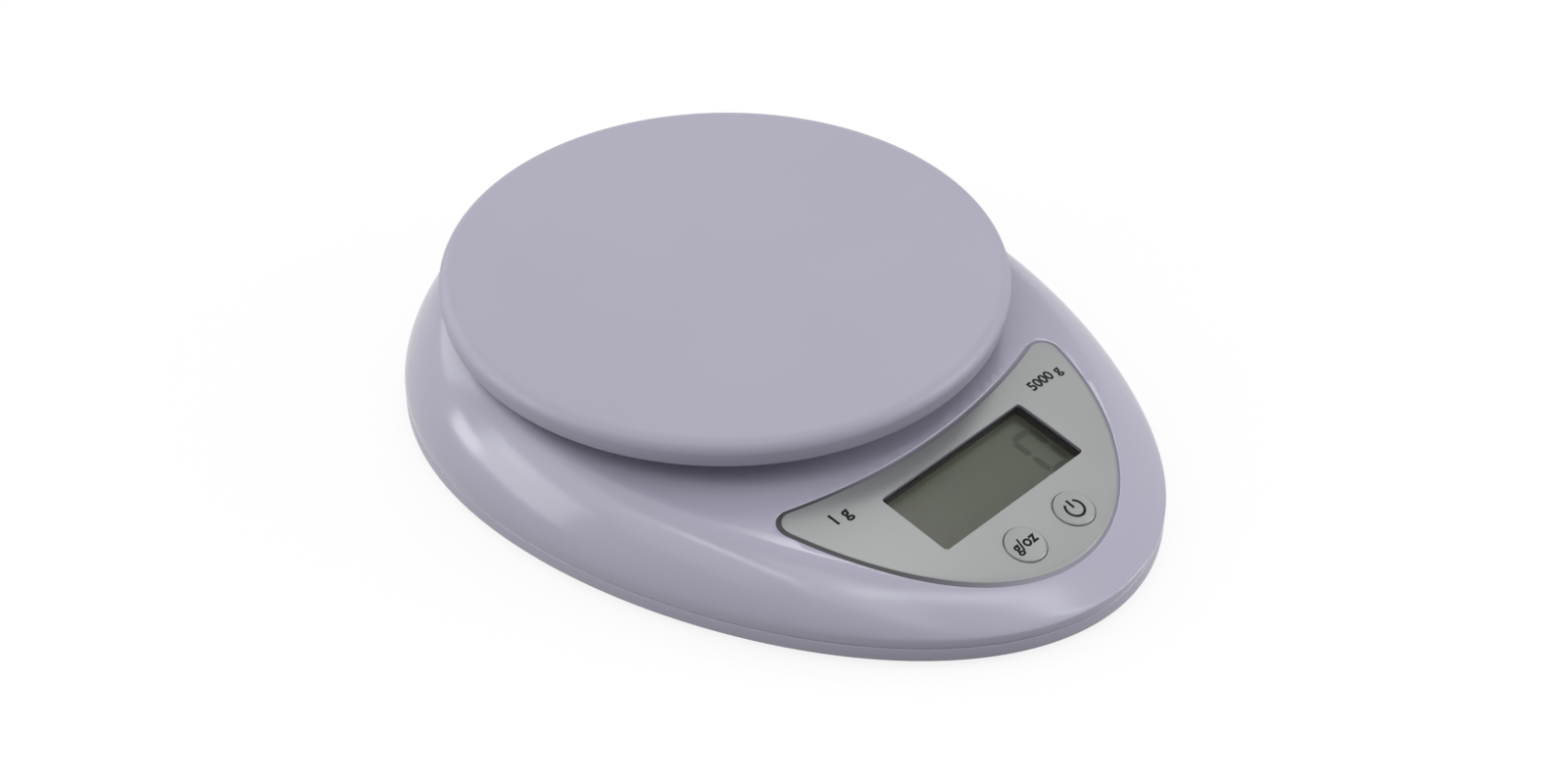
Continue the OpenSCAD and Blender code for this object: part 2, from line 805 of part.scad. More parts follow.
// The black resin drop over the chip, on the board's underside
module chip_cover() {
    drop_d = 11;
    drop_h = 1.5;
    color("#17181a")
        at_panel()
            translate([-board_w / 8, 2, -board_depth - board_t])
                rotate_extrude()
                    polygon(concat([[0, 0]], [for (a = [0:15:90])
                        [drop_d / 2 * cos(a), -drop_h * sin(a)]]));
}

// The crystal and the capacitors lie against the board's underside
module crystal() {
    crystal_d = 3;
    crystal_l = 8;
    color("#c9cacc")
        at_panel()
            translate([board_w / 8, window_h / 3, -board_depth - board_t - crystal_d / 2])
                rotate([0, 90, 0])
                    cylinder(h = crystal_l, d = crystal_d);
}

module capacitors() {
    can_d = 5;
    can_l = 11;
    can_in = 8;
    color("#3b4a86")
        at_panel()
            for (x = [-0.37, 0.34])
                translate([x * board_w, board_back - can_in, -board_depth - board_t - can_d / 2])
                    rotate([90, 0, 0])
                        cylinder(h = can_l, d = can_d);
}

module switch_bodies() {
    color("#2b2c2f")
        at_panel()
            for (x = [-key_x, key_x])
                translate([x, key_v, -board_depth])
                    difference() {
                        block(switch_w, switch_w, 0, switch_h);
                        translate([0, 0, switch_h - key_travel - 1])
                            cylinder(h = 3, d = plunger_d + 2 * bore_fit);
                    }
}

module plunger(x) {
    color("#e9e9e6")
        at_panel()
            translate([x, key_v, plunger_top - plunger_h - 0.5])
                cylinder(h = plunger_h + 0.5, d = plunger_d);
}

module unit_plunger() {
    plunger(-key_x);
}

module power_plunger() {
    plunger(key_x);
}

// A key: its face follows the panel, and a hidden flange under the housing keeps it in
module key(x) {
    flange_z = key_w - wall - flange_slope_room - flange_t;
    color("#b9bdbb")
        intersection() {
            at_panel()
                translate([x, key_v, 0]) {
                    translate([0, 0, flange_z])
                        cylinder(h = 10, d = key_d);
                    translate([0, 0, flange_z])
                        cylinder(h = flange_t, d = key_d + 2 * flange_reach);
                    translate([0, 0, plunger_top])
                        cylinder(h = flange_z - plunger_top + eps, d = plunger_d + 0.6);
                }
            top_sheet(-20, key_rise, key_y - key_d, key_y + key_d, base_w / 2);
        }
}
// The panel curves away from a key's flange by this much over the flange's reach
flange_slope_room = (key_d / 2 + flange_reach) * (top_slope(key_y) - top_slope(display_y)) + fit;

module unit_key() {
    key(-key_x);
}

module power_key() {
    key(key_x);
}

module load_cell() {
    color("#c7c9cc")
        translate([0, platform_y, 0])
            difference() {
                block(cell_l, cell_w, cell_z, cell_h);
                for (x = [-flex_step / 2, flex_step / 2])
                    translate([x, cell_w, cell_z + cell_h / 2])
                        rotate([90, 0, 0])
                            cylinder(h = 2 * cell_w, d = flex_d);
                translate([0, 0, cell_z + cell_h / 2 - flex_slot / 2])
                    block(flex_step, 2 * cell_w, 0, flex_slot);
                for (x = concat(fixed_screws, free_screws))
                    translate([x, 0, cell_z - 1])
                        cylinder(h = cell_h + 2, d = cell_screw_d + 2 * bore_fit);
            }
}

module gauge_coating() {
    color("#f0efe9")
        translate([0, platform_y, 0])
            for (z = [cell_top, cell_z - coating_t])
                translate([0, 0, z])
                    linear_extrude(coating_t)
                        round_rect(coating_l, cell_w - 1, 2);
}

// The carrier's screws point down into the load cell's free end
module carrier_screws() {
    color("#c4c5c8")
        for (x = free_screws)
            translate([x, platform_y, foot_seat_z()])
                rotate([180, 0, 0])
                    screw_up(cell_screw_d, cell_head_d, cell_head_h, cell_screw_l);
}
function foot_seat_z() = cell_top + cell_pad_h + 1;

module platform_carrier() {
    color("#d8d6df")
        translate([0, platform_y, 0])
            difference() {
                union() {
                    translate([0, 0, carrier_z])
                        cylinder(h = carrier_t, d = carrier_d, $fn = 96);
                    translate([foot_x, 0, cell_top])
                        linear_extrude(carrier_z - cell_top + eps)
                            round_rect(foot_l, foot_w, 2);
                    for (r = [carrier_d / 2 - 2, carrier_d / 4])
                        translate([0, 0, carrier_z - carrier_rib_h])
                            difference() {
                                cylinder(h = carrier_rib_h + eps, r = r);
                                translate([0, 0, -1])
                                    cylinder(h = carrier_rib_h + 2, r = r - rib_t);
                            }
                    for (i = [0:carrier_spokes - 1])
                        rotate([0, 0, i * 360 / carrier_spokes + 15])
                            translate([carrier_d / 4 - 1, -rib_t / 2, carrier_z - carrier_rib_h])
                                cube([carrier_d / 4 - 2, rib_t, carrier_rib_h + eps]);
                }
                for (x = free_screws)
                    translate([x, 0, 0]) {
                        cylinder(h = platform_top, d = cell_screw_d + 0.4);
                        translate([0, 0, foot_seat_z()])
                            cylinder(h = platform_top, d = cell_head_d + 0.6);
                    }
            }
}

// The platform: a flat round lid with a rolled edge, stiffened inside the rim, that clips on the carrier
module weighing_platform() {
    r = platform_d / 2;
    ring_in = carrier_d / 2 + fit;
    ring_z = carrier_z - clip_h - fit;
    color("#cfcbdc")
        translate([0, platform_y, 0]) {
            rotate_extrude($fn = 144)
                polygon(concat(
                    [[0, under_skin_z], [r - rim_t - 1, under_skin_z], [r - rim_t, under_skin_z - 1],
                        [r - rim_t - rim_draft, rim_z + 0.4], [r - rim_t - rim_draft + 0.4, rim_z],
                        [r - rim_draft - 0.4, rim_z], [r - rim_draft, rim_z + 0.4]],
                    [for (a = [0:15:90])
                        [r - rim_round * (1 - cos(a)), platform_top - rim_round * (1 - sin(a))]],
                    [[0, platform_top]]
                ));
            translate([0, 0, ring_z])
                difference() {
                    cylinder(h = under_skin_z - ring_z + eps, r = ring_in + clip_ring_t);
                    translate([0, 0, -1])
                        cylinder(h = under_skin_z - ring_z + 2, r = ring_in);
                }
            for (i = [0:3])
                rotate([0, 0, i * 90 + 35])
                    rotate_extrude(angle = 20)
                        polygon([
                            [ring_in - clip_reach, ring_z], [ring_in + 0.5, ring_z],
                            [ring_in + 0.5, ring_z + clip_h], [ring_in - clip_reach, ring_z + clip_h]
                        ]);
            for (i = [0:rim_ribs - 1])
                rotate([0, 0, i * 360 / rim_ribs])
                    translate([ring_in + clip_ring_t / 2, -rib_t / 2, rim_z + rim_h / 3])
                        cube([r - rim_t / 2 - rim_draft - ring_in - clip_ring_t / 2, rib_t,
                            under_skin_z - rim_z - rim_h / 3 + eps]);
        }
}

// The door lies flush in the cover. Its two tabs reach over the cover's floor at the front, and the
// latch tongue at the back has grip ridges.
module battery_door() {
    color("#bfbccb")
        translate([0, battery_y, 0])
            difference() {
                union() {
                    block(door_w, door_l, floor_z, door_t);
                    for (x = [-tab_x, tab_x]) {
                        translate([x, -door_l / 2 - tab_reach / 2 + tub_grip / 2, 0])
                            block(tab_w, tab_reach + tub_grip, tab_z, tab_t);
                        translate([x, -tub_l / 2 + 1 - eps, 0])
                            block(tab_w, 2, floor_z + door_t - eps, tab_z + tab_t - floor_z - door_t + eps);
                    }
                }
                for (x = [-1, 1])
                    translate([x * (latch_w / 2 + 0.5), door_l / 2 - latch_l / 2, 0])
                        block(1, latch_l + 1, 0, inside_z);
                for (i = [0:latch_ridges - 1])
                    translate([0, door_l / 2 - 2 - i * 1.8, 0])
                        block(latch_w - 3, 0.8, 0, floor_z + 0.5);
            }
}
latch_w = 14;
latch_l = 9;
tub_grip = door_ledge + 2;

// A battery cell along X with its nub towards +X, centred on its length
module battery_cell() {
    can = battery_l - 1;
    nub_r = battery_d * 0.18;
    rotate([0, 90, 0])
        translate([0, 0, -battery_l / 2])
            rotate_extrude()
                polygon([
                    [0, 0], [battery_d / 2 - 0.6, 0], [battery_d / 2, 0.6], [battery_d / 2, can - 0.6],
                    [battery_d / 2 - 0.6, can], [nub_r, can], [nub_r, battery_l], [0, battery_l]
                ]);
}

// Each cell's nub presses on a contact plate, and its flat end on a spring
contact_nub = 0.5;
contact_w = 8;
cell_shift = tub_w / 2 - contact_t - contact_nub - battery_l / 2;

module battery_cell_front() {
    color("#8f8a4e")
        translate([-cell_shift, battery_y - battery_step / 2, battery_z])
            mirror([1, 0, 0])
                battery_cell();
}

module battery_cell_rear() {
    color("#8f8a4e")
        translate([cell_shift, battery_y + battery_step / 2, battery_z])
            battery_cell();
}

// A contact plate on the left wall of the compartment, with a raised nub, facing +X
module plate_contact(w) {
    translate([-tub_w / 2, -w / 2, battery_z - contact_w / 2])
        cube([contact_t, w, contact_w]);
}

// The tab of a contact that passes out through the compartment's wall, for the wire
module solder_tab(y) {
    translate([-tub_w / 2 - tub_t - solder_out, y - solder_w / 2, battery_z - contact_t / 2])
        cube([tub_t + solder_out + contact_t / 2, solder_w, contact_t]);
}

module contact_nub_at(y) {
    translate([-tub_w / 2, y, battery_z])
        rotate([0, 90, 0])
            cylinder(h = contact_t + contact_nub, d = 4);
}

// A conical spring of one wire, wound along +X from the plate to the cell's end
module spring_at(y) {
    r_wide = battery_d * 0.38;
    r_narrow = battery_d * 0.2;
    per_turn = 14;
    count = spring_turns * per_turn;
    x0 = -tub_w / 2 + contact_t + spring_wire / 2 - 0.1;
    reach = tub_w - 2 * contact_t - contact_nub - battery_l - spring_wire;
    turns = [for (i = [0:count])
        let (s = i / count, a = i * 360 / per_turn, r = r_wide + (r_narrow - r_wide) * s)
            [x0 + reach * s, y + r * cos(a), battery_z + r * sin(a)]];
    tube(turns, spring_wire / 2, 6, [1, 0, 0]);
}

module bridge_contact() {
    color("#cfcfca")
        translate([0, battery_y, 0])
            union() {
                plate_contact(battery_step + contact_w);
                contact_nub_at(-battery_step / 2);
                spring_at(battery_step / 2);
            }
}

module minus_contact() {
    color("#cfcfca")
        translate([0, battery_y, 0])
            mirror([1, 0, 0]) {
                translate([0, -battery_step / 2, 0])
                    plate_contact(contact_w);
                spring_at(-battery_step / 2);
                solder_tab(-battery_step / 2);
            }
}

module plus_contact() {
    color("#cfcfca")
        translate([0, battery_y, 0])
            mirror([1, 0, 0]) {
                translate([0, battery_step / 2, 0])
                    plate_contact(contact_w);
                contact_nub_at(battery_step / 2);
                solder_tab(battery_step / 2);
            }
}

// A tube of this radius along a line of points, closed at both ends. The line never runs along across.
function unit(v) = v / norm(v);
function line_dir(line, i) = unit(line[min(i + 1, len(line) - 1)] - line[max(i - 1, 0)]);
module tube(line, r, n, across = [0, 0, 1]) {
    last = len(line) - 1;
    points = [for (i = [0:last])
        let (d = line_dir(line, i), s = unit(cross(d, across)), t = cross(s, d))
            for (k = [0:n - 1]) line[i] + r * (cos(k * 360 / n) * s + sin(k * 360 / n) * t)];
    polyhedron(points, concat(
        [[for (k = [n - 1:-1:0]) k]],
        [[for (k = [0:n - 1]) last * n + k]],
        [for (i = [0:last - 1], k = [0:n - 1]) let (j = (k + 1) % n)
            [i * n + k, (i + 1) * n + j, (i + 1) * n + k]],
        [for (i = [0:last - 1], k = [0:n - 1]) let (j = (k + 1) % n)
            [i * n + k, i * n + j, (i + 1) * n + j]]
    ));
}

// A smooth line through a few points, by cubic pieces that are as steep at each point as the line
// between its neighbours
function blend(p, q, u, v, t) = p * (2 * t * t * t - 3 * t * t + 1) + u * (t * t * t - 2 * t * t + t)
    + q * (3 * t * t - 2 * t * t * t) + v * (t * t * t - t * t);
function smooth(line, parts) = let (last = len(line) - 1) [
    for (i = [0:last - 1])
        let (
            reach = norm(line[i + 1] - line[i]),
            u = reach * line_dir(line, i),
            v = reach * line_dir(line, i + 1)
        )
            for (k = [0:parts - (i == last - 1 ? 0 : 1)]) blend(line[i], line[i + 1], u, v, k / parts)
];

// A point behind the circuit board's back edge, in line with the board
function behind_board(x, d) = let (v = board_back + d, w = board_depth + board_t / 2) [
    x,
    display_y + v * cos(panel_tilt) + w * sin(panel_tilt),
    top_z(display_y) + v * sin(panel_tilt) - w * cos(panel_tilt)
];
cable_d = 2.6;
wire_d = 1.5;

// The load cell's cable: out of the upper coating's edge, down in front of the cell, then to the board
module cell_cable() {
    side = platform_y - cell_w / 2 + 0.5;
    z = cell_top + coating_t / 2 + cable_d / 2 - 0.4;
    color("#d4d4d0")
        tube(smooth([
            [-coating_l / 4, side - 0.6, z], [-coating_l / 4, side - 6, z],
            [-coating_l / 4 - 3, side - 14, z - 3], behind_board(2 - board_w / 4, 16),
            behind_board(-board_w / 4, 5), behind_board(-board_w / 4, 0.1)
        ], 4), cable_d / 2, 8);
}

// A battery wire runs from a contact's solder tab round the load cell's free end to the board
module battery_wire(y, turn_x, end_x) {
    start_x = tub_w / 2 + tub_t + solder_out;
    tube(smooth([
        [start_x + 0.1, y, battery_z], [start_x + 3, y, battery_z],
        [turn_x, battery_y - 18, battery_z], [turn_x, platform_y, battery_z - 1],
        [turn_x - 4, platform_y - 26, battery_z], behind_board(end_x + 4, 13),
        behind_board(end_x, 5), behind_board(end_x, 0.1)
    ], 4), wire_d / 2, 8);
}

module minus_wire() {
    color("#232323")
        battery_wire(battery_y - battery_step / 2, cell_l / 2 + 8, board_w * 0.22);
}

module plus_wire() {
    color("#a8322c")
        battery_wire(battery_y + battery_step / 2, cell_l / 2 + 12, board_w * 0.31);
}

bottom_cover();
top_housing();
rubber_feet();
housing_screws();
panel_label();
display_window();
display_shroud();
display_glass();
display_holder();
display_connectors();
main_board();
chip_cover();
crystal();
capacitors();
board_screws();
switch_bodies();
unit_plunger();
power_plunger();
unit_key();
power_key();
load_cell();
gauge_coating();
cell_screws();
carrier_screws();
platform_carrier();
weighing_platform();
battery_door();
battery_cell_front();
battery_cell_rear();
bridge_contact();
minus_contact();
plus_contact();
cell_cable();
minus_wire();
plus_wire();
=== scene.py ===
"""Digital kitchen scale: an egg-shaped base, a round platform, and a panel with a display and two keys.

Shapes are worked out in millimetres, from the same outline, shoulder and slope as the part, and each
mesh is written in metres. X runs to the right, Y to the back, Z up, from the table under the base's middle.
"""

import json
import math

import bpy
import numpy as np
from mathutils import Matrix


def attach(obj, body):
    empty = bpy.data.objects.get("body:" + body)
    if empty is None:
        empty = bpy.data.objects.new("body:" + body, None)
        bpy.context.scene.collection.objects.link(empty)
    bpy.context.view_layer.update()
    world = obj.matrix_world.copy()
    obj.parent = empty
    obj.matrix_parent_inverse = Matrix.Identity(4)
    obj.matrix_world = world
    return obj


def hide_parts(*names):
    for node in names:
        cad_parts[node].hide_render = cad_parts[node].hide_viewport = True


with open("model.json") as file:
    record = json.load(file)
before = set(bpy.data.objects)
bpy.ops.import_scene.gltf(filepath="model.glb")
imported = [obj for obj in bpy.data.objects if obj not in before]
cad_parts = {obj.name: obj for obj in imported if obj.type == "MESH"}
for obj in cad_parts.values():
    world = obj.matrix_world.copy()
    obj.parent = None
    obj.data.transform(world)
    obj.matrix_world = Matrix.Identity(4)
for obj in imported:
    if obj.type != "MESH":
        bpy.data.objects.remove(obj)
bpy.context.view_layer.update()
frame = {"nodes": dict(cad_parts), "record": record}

# Names that end in W, L, H, T, D and R are widths, lengths, heights, thicknesses, diameters and radii. Those
# that end in IN are distances in from the base's outline, and those in X, Y and Z are places.
MM = 0.001
TAU = 2 * math.pi
SIDES = 288
SMOOTH_ANGLE = math.radians(32)

# Small rounded edges: the radius, and the distance of the middle point from the corner
EDGE, EDGE_MID = 0.4, 0.12
# How far a solid sinks into the one it joins, and how far a cutting solid reaches past the skin
SINK, REACH = 0.5, 6

# The base
BASE_W, BASE_L = 171.5, 218.5
EGG, END = 0.15, 0.02
SIDE_Z, SEAM_Z = 9.0, 6.5
# The rounded edge at the seam: distance in from the side, and distance from the seam
SEAM_EDGE = ((0, 0.4), (0.06, 0.22), (0.18, 0.08), (0.4, 0))
SHOULDER_FRONT, SHOULDER_BACK, SHOULDER_POWER = 13.0, 16.0, 1.5
TOP_MID, TOP_LEAN = 28.2, math.tan(math.radians(3.66))
DIP_IN, DIP_DROP = 79.25, 8.8
WALL, TONGUE_H, COVER_ROUND, FLOOR_T = 2.2, 1.9, 1.2, 2.0
FIT, SHAFT_FIT = 0.15, 0.05
HALF_Y = BASE_L / 2
DIP_Y = DIP_IN - HALF_Y
RIB_T, HOUSING_RIB_H, COVER_RIB_H = 1.4, 3.5, 1.5
COVER_RIBS_X, COVER_RIBS_FRONT, COVER_RIB_W, COVER_RIB_CLEAR = (-30, 0, 30), (6, 40), 0.72 * BASE_W, 4
BLOCK_R = 0.6

# The platform
PLATFORM_D, PLATFORM_TOP, SKIN, RIM_H, RIM_T = 150.0, 40.6, 2.5, 7.4, 2.2
RIM_ROUND, RIM_DRAFT, RIM_RIBS = 3.5, 0.6, 24
CARRIER_D, CARRIER_T = 116.0, 2.5
CLIPS, CLIP_START, CLIP_SWEEP, CLIP_RING, CLIP_REACH, CLIP_H = 4, 35, 20, 2.0, 1.0, 1.0
PLATFORM_Y = HALF_Y - 84.75
RIM_Z = PLATFORM_TOP - RIM_H
UNDER_SKIN = PLATFORM_TOP - SKIN
CARRIER_Z = UNDER_SKIN - CARRIER_T

# The panel
LABEL_FRONT, LABEL_L, LABEL_HALF, LABEL_BOW, LABEL_BACK_BOW = 11.6 - HALF_Y, 48.6, 54.6, 78.0, 8.4
LABEL_BACK = LABEL_FRONT + LABEL_L
TIP_TURN = math.acos(1 - (LABEL_L + LABEL_BACK_BOW) / LABEL_BOW)
LABEL_TIP, LABEL_T, LABEL_SINK, LABEL_GAP, LABEL_LEFT, LABEL_SHIFT = 4.0, 1.0, 0.1, 0.95, 1.1, 0.5
# The bead in the label's groove: its depth, and where along X its painted shade passes from dark to pale
BEAD_SINK, SHADE_DARK_X, SHADE_PALE_X = 0.32, -46.0, -12.0
DISPLAY_Y, KEY_Y = 43.85 - HALF_Y, 22.25 - HALF_Y
WINDOW_W, WINDOW_H, WINDOW_R = 52.7, 21.8, 1.0
PANE_T, PANE_SEAT, SHROUD_T, GLASS_DEPTH = 0.5, 1.6, 1.4, 4.0
BOARD_DEPTH, BOARD_W, BOARD_BACK, BOARD_FRONT = 9.0, 64.0, 21.5, 5.0
POST_IN, POST_D, POST_HOLE_R, POST_HOLE_H = 3.4, 5.6, 1.1, 4.9
KEY_X, KEY_D, KEY_GAP, KEY_RISE, KEY_ROUND, KEY_DISH = 9.4, 10.8, 0.3, 0.45, 0.5, 0.12
FLANGE_REACH, FLANGE_T, PLUNGER_D, SWITCH_H, PLUNGER_RISE = 1.1, 0.7, 3.4, 3.4, 0.9
PLUNGER_TOP = SWITCH_H + PLUNGER_RISE - BOARD_DEPTH
INK_T = 0.03

# Under the base
FLOOR_Z = 2.0
INSIDE_Z = FLOOR_Z + FLOOR_T
CELL_W, CELL_PAD_L, CELL_PAD_MARGIN, CELL_PAD_H = 12.7, 25, 4, 2.5
CELL_STOP_L, CELL_STOP_GAP = 10, 0.9
CELL_SHAFT_R, CELL_HEAD_R, CELL_HEAD_H = 2.2, 4.0, 2.6
FIXED_SCREWS, FREE_SCREWS = (-35.0, -20.0), (20.0, 35.0)
FOOT_X, FOOT_L, FOOT_W, FOOT_GAP, COLLAR_H = 27.5, 27.0, 18.0, 2.0, 1.8
SCREW_ANGLES, PILLAR_IN, PILLAR_D = (40, 130, 230, 320), 10.0, 7.0
FOOT_ANGLES, FOOT_IN, FOOT_PAD_D, FOOT_SEAT = (24, 148, 212, 336), 13.0, 12.0, 0.7
SCREW_D, SCREW_HEAD_D, SCREW_HEAD_H, SCREW_L = 2.9, 5.4, 1.7, 10.0
BOSS_TOP = SEAM_Z + TONGUE_H
BATTERY_Y, BATTERY_D, BATTERY_L, BATTERY_STEP = HALF_Y - 43.25, 10.5, 44.5, 11.2
SPRING_L, CONTACT_T, TAB_SLOT_L, TAB_SLOT_T = 5.4, 0.4, 3.3, 0.7
TUB_W = BATTERY_L + SPRING_L + 2 * CONTACT_T + 1
TUB_L = BATTERY_STEP + BATTERY_D + 1
TUB_T = 1.5
TUB_TOP = INSIDE_Z + BATTERY_D + 1.2
DOOR_T, DOOR_LEDGE, DOOR_GAP, DOOR_SEAT = 1.7, 2.0, 0.35, 1.0
BATTERY_Z = FLOOR_Z + DOOR_T + 0.5 + BATTERY_D / 2
DOOR_W, DOOR_L = TUB_W + 2 * DOOR_LEDGE, TUB_L + 2 * DOOR_LEDGE
TAB_W, TAB_REACH, TAB_T = 8.0, 2.4, 1.0
TAB_X = TUB_W / 2 - TAB_W


# Formulas of the base, shared by every piece that follows it

def egg(a):
    """The share by which the outline is fuller at this angle: one plus two small cosines."""
    return 1 + EGG * np.cos(a) + END * np.cos(2 * a)


WIDE = np.radians(np.arange(60, 111))
HALF_X = BASE_W / 2 / np.max(np.sin(WIDE) * egg(WIDE))


def inset(a, d):
    """The point of the outline at angle a, clockwise from the back, moved in by d square to the outline."""
    edge = np.stack([HALF_X * np.sin(a) * egg(a), HALF_Y * np.cos(a)], -1)
    bend = EGG * np.sin(a) + 2 * END * np.sin(2 * a)
    along = np.stack([HALF_X * (np.cos(a) * egg(a) - np.sin(a) * bend), -HALF_Y * np.sin(a)], -1)
    along /= np.linalg.norm(along, axis=-1, keepdims=True)
    outward = np.stack([-along[..., 1], along[..., 0]], -1)
    return edge - np.asarray(d)[..., None] * outward


SIDE_A = np.arange(SIDES) * TAU / SIDES


def level(d, z):
    """A ring of the base: the outline moved in by d, at one height."""
    return np.column_stack([inset(SIDE_A, d), np.full(SIDES, float(z))])


def top_z(y):
    """Height of the housing's top: a straight slope, less a square fall in front of the dip's start."""
    past = np.maximum(0, DIP_Y - y) / DIP_IN
    return TOP_MID + TOP_LEAN * (y - PLATFORM_Y) - DIP_DROP * past ** 2


def top_slope(y):
    """Slope of the housing's top along the base, the derivative of its height."""
    return TOP_LEAN + 2 * DIP_DROP * np.maximum(0, DIP_Y - y) / DIP_IN ** 2


def shoulder(a):
    """Width of the rounded shoulder, which grows by a cosine from the front to the back."""
    return SHOULDER_FRONT + (SHOULDER_BACK - SHOULDER_FRONT) * (1 + np.cos(a)) / 2


def crown(u):
    """Rise of the shoulder, from 0 at the side to 1 where the top begins: a superellipse."""
    return (1 - (1 - u) ** SHOULDER_POWER) ** (1 / SHOULDER_POWER)


RIM_A = np.linspace(0, TAU, 900, endpoint=False)
RIM = inset(RIM_A, 0.0)


def skin_z(x, y):
    """Height of the housing at a point seen from above: the crown of its distance from the outline."""
    far = np.hypot(x[..., None] - RIM[:, 0], y[..., None] - RIM[:, 1])
    u = np.clip(far.min(-1) / shoulder(RIM_A[far.argmin(-1)]), 0, 1)
    return SIDE_Z + (top_z(y) - SIDE_Z) * crown(u)


TILT = math.atan(top_slope(DISPLAY_Y))
COS, SIN = math.cos(TILT), math.sin(TILT)


def on_panel(p):
    """Turns points of the panel's frame, with its origin at the display's middle, to the base's frame."""
    x, v, w = p[..., 0], p[..., 1], p[..., 2]
    return np.stack([x, DISPLAY_Y + v * COS - w * SIN, top_z(DISPLAY_Y) + v * SIN + w * COS], -1)


def panel_w(v):
    """Height of the housing's surface over the panel's flat plane, found by a few steps of substitution."""
    w = 0 * v
    for _ in range(4):
        w = (top_z(DISPLAY_Y + v * COS - w * SIN) - top_z(DISPLAY_Y) - v * SIN) / COS
    return w


KEY_V = (KEY_Y - DISPLAY_Y) * COS + (top_z(KEY_Y) - top_z(DISPLAY_Y)) * SIN
KEY_W = float(panel_w(np.array(KEY_V)))


# Closed solids from rings of points

def loft(rings, loop=False):
    """A solid through rings of equal count. Quads join each ring to the next; the ends are closed by fans
    to the ring's middle, or the last ring joins the first when loop is true."""
    rings = np.asarray(rings, float)
    r, n = rings.shape[:2]
    i = np.arange(n)
    j = (i + 1) % n
    k = np.arange(r if loop else r - 1)[:, None]
    m = (k + 1) % r
    quads = np.stack([k * n + i, k * n + j, m * n + j, m * n + i], -1).reshape(-1, 4)
    points = rings.reshape(-1, 3)
    fans = np.empty((0, 3), int)
    if not loop:
        points = np.concatenate([points, [rings[0].mean(0), rings[-1].mean(0)]])
        first = np.stack([j, i, np.full(n, r * n)], -1)
        last = np.stack([(r - 1) * n + i, (r - 1) * n + j, np.full(n, r * n + 1)], -1)
        fans = np.concatenate([first, last])
    tris = np.concatenate([quads[:, [0, 1, 2]], quads[:, [0, 2, 3]], fans])
    a, b, c = (points[tris[:, q]] for q in range(3))
    if np.einsum("ij,ij->", a, np.cross(b, c)) < 0:
        quads, fans = quads[:, ::-1], fans[:, ::-1]
    return points, quads.tolist() + fans.tolist()


def grown(outline, d):
    """A closed outline with each point moved out by d along its normal, the outline running anticlockwise."""
    along = np.roll(outline, -1, 0) - np.roll(outline, 1, 0)
    along /= np.linalg.norm(along, axis=1, keepdims=True)
    return outline + d * np.stack([along[:, 1], -along[:, 0]], -1)


def stack(outline, steps, place=None, loop=False):
    """Rings of one outline, each grown by its own amount at its own height, placed in the base's frame."""
    rings = [np.column_stack([grown(outline, d), np.full(len(outline), float(z))]) for d, z in steps]
    return loft([place(ring) if place else ring for ring in rings], loop)


def round_rect(w, h, r, turn=9):
    """A rectangle with quarter circles of radius r at its corners, anticlockwise."""
    q = np.linspace(0, math.pi / 2, turn)
    corners = [((w / 2 - r), (h / 2 - r), 0), (-(w / 2 - r), (h / 2 - r), 1),
               (-(w / 2 - r), -(h / 2 - r), 2), ((w / 2 - r), -(h / 2 - r), 3)]
    return np.concatenate([
        np.stack([x + r * np.cos(q + s * math.pi / 2), y + r * np.sin(q + s * math.pi / 2)], -1)
        for x, y, s in corners])


def disc(r, n=64, x=0.0, y=0.0):
    """A circle of n points, anticlockwise."""
    q = np.arange(n) * TAU / n
    return np.stack([x + r * np.cos(q), y + r * np.sin(q)], -1)


def column(r, z0, z1, x=0.0, y=0.0, n=48, place=None):
    """A round column between two heights."""
    return stack(disc(r, n, x, y), [(0, z0), (0, z1)], place)


def slab(w, l, z0, z1, x=0.0, y=0.0, r=0.05, place=None):
    """A block with small round corners, between two heights, centred on x and y."""
    return stack(round_rect(w, l, r, 3) + [x, y], [(0, z0), (0, z1)], place)


def revolve(profile, n, y):
    """Rings of a profile of radius and height, carried once round a vertical axis at this y."""
    profile = np.asarray(profile, float)
    q = np.arange(n) * TAU / n
    return np.stack([profile[:, :1] * np.cos(q), y + profile[:, :1] * np.sin(q),
                     np.broadcast_to(profile[:, 1:], (len(profile), n))], -1)


def arc(cx, cz, r, a0, a1, n=7):
    """Points of a circular arc between two angles in degrees, as radius and height."""
    q = np.radians(np.linspace(a0, a1, n))
    return [(cx + r * math.cos(t), cz + r * math.sin(t)) for t in q]


def raw_object(name, solid):
    """A mesh object of one solid, written in metres."""
    points, faces = solid
    mesh = bpy.data.meshes.new(name)
    mesh.from_pydata((np.asarray(points) * MM).tolist(), [], faces)
    mesh.update()
    obj = bpy.data.objects.new(name, mesh)
    bpy.context.scene.collection.objects.link(obj)
    return obj


def final_mesh(obj):
    """A new mesh of what an object looks like with its modifiers, or of a word's filled letters."""
    bpy.context.view_layer.update()
    return bpy.data.meshes.new_from_object(obj.evaluated_get(bpy.context.evaluated_depsgraph_get()))


def worked(name, solid, steps=()):
    """A solid with others joined to it or cut from it, in order. Each step is the word UNION or DIFFERENCE
    and a solid."""
    obj = raw_object(name, solid)
    tools = []
    for n, (how, tool) in enumerate(steps):
        tools.append(raw_object(f"tool_{n}", tool))
        cut = obj.modifiers.new(f"step_{n}", "BOOLEAN")
        cut.operation, cut.solver, cut.object = how, "MANIFOLD", tools[-1]
    if steps:
        done = final_mesh(obj)
        obj.modifiers.clear()
        obj.data = done
        done.name = name
        done.materials.clear()
    for tool in tools:
        bpy.data.objects.remove(tool)
    return obj


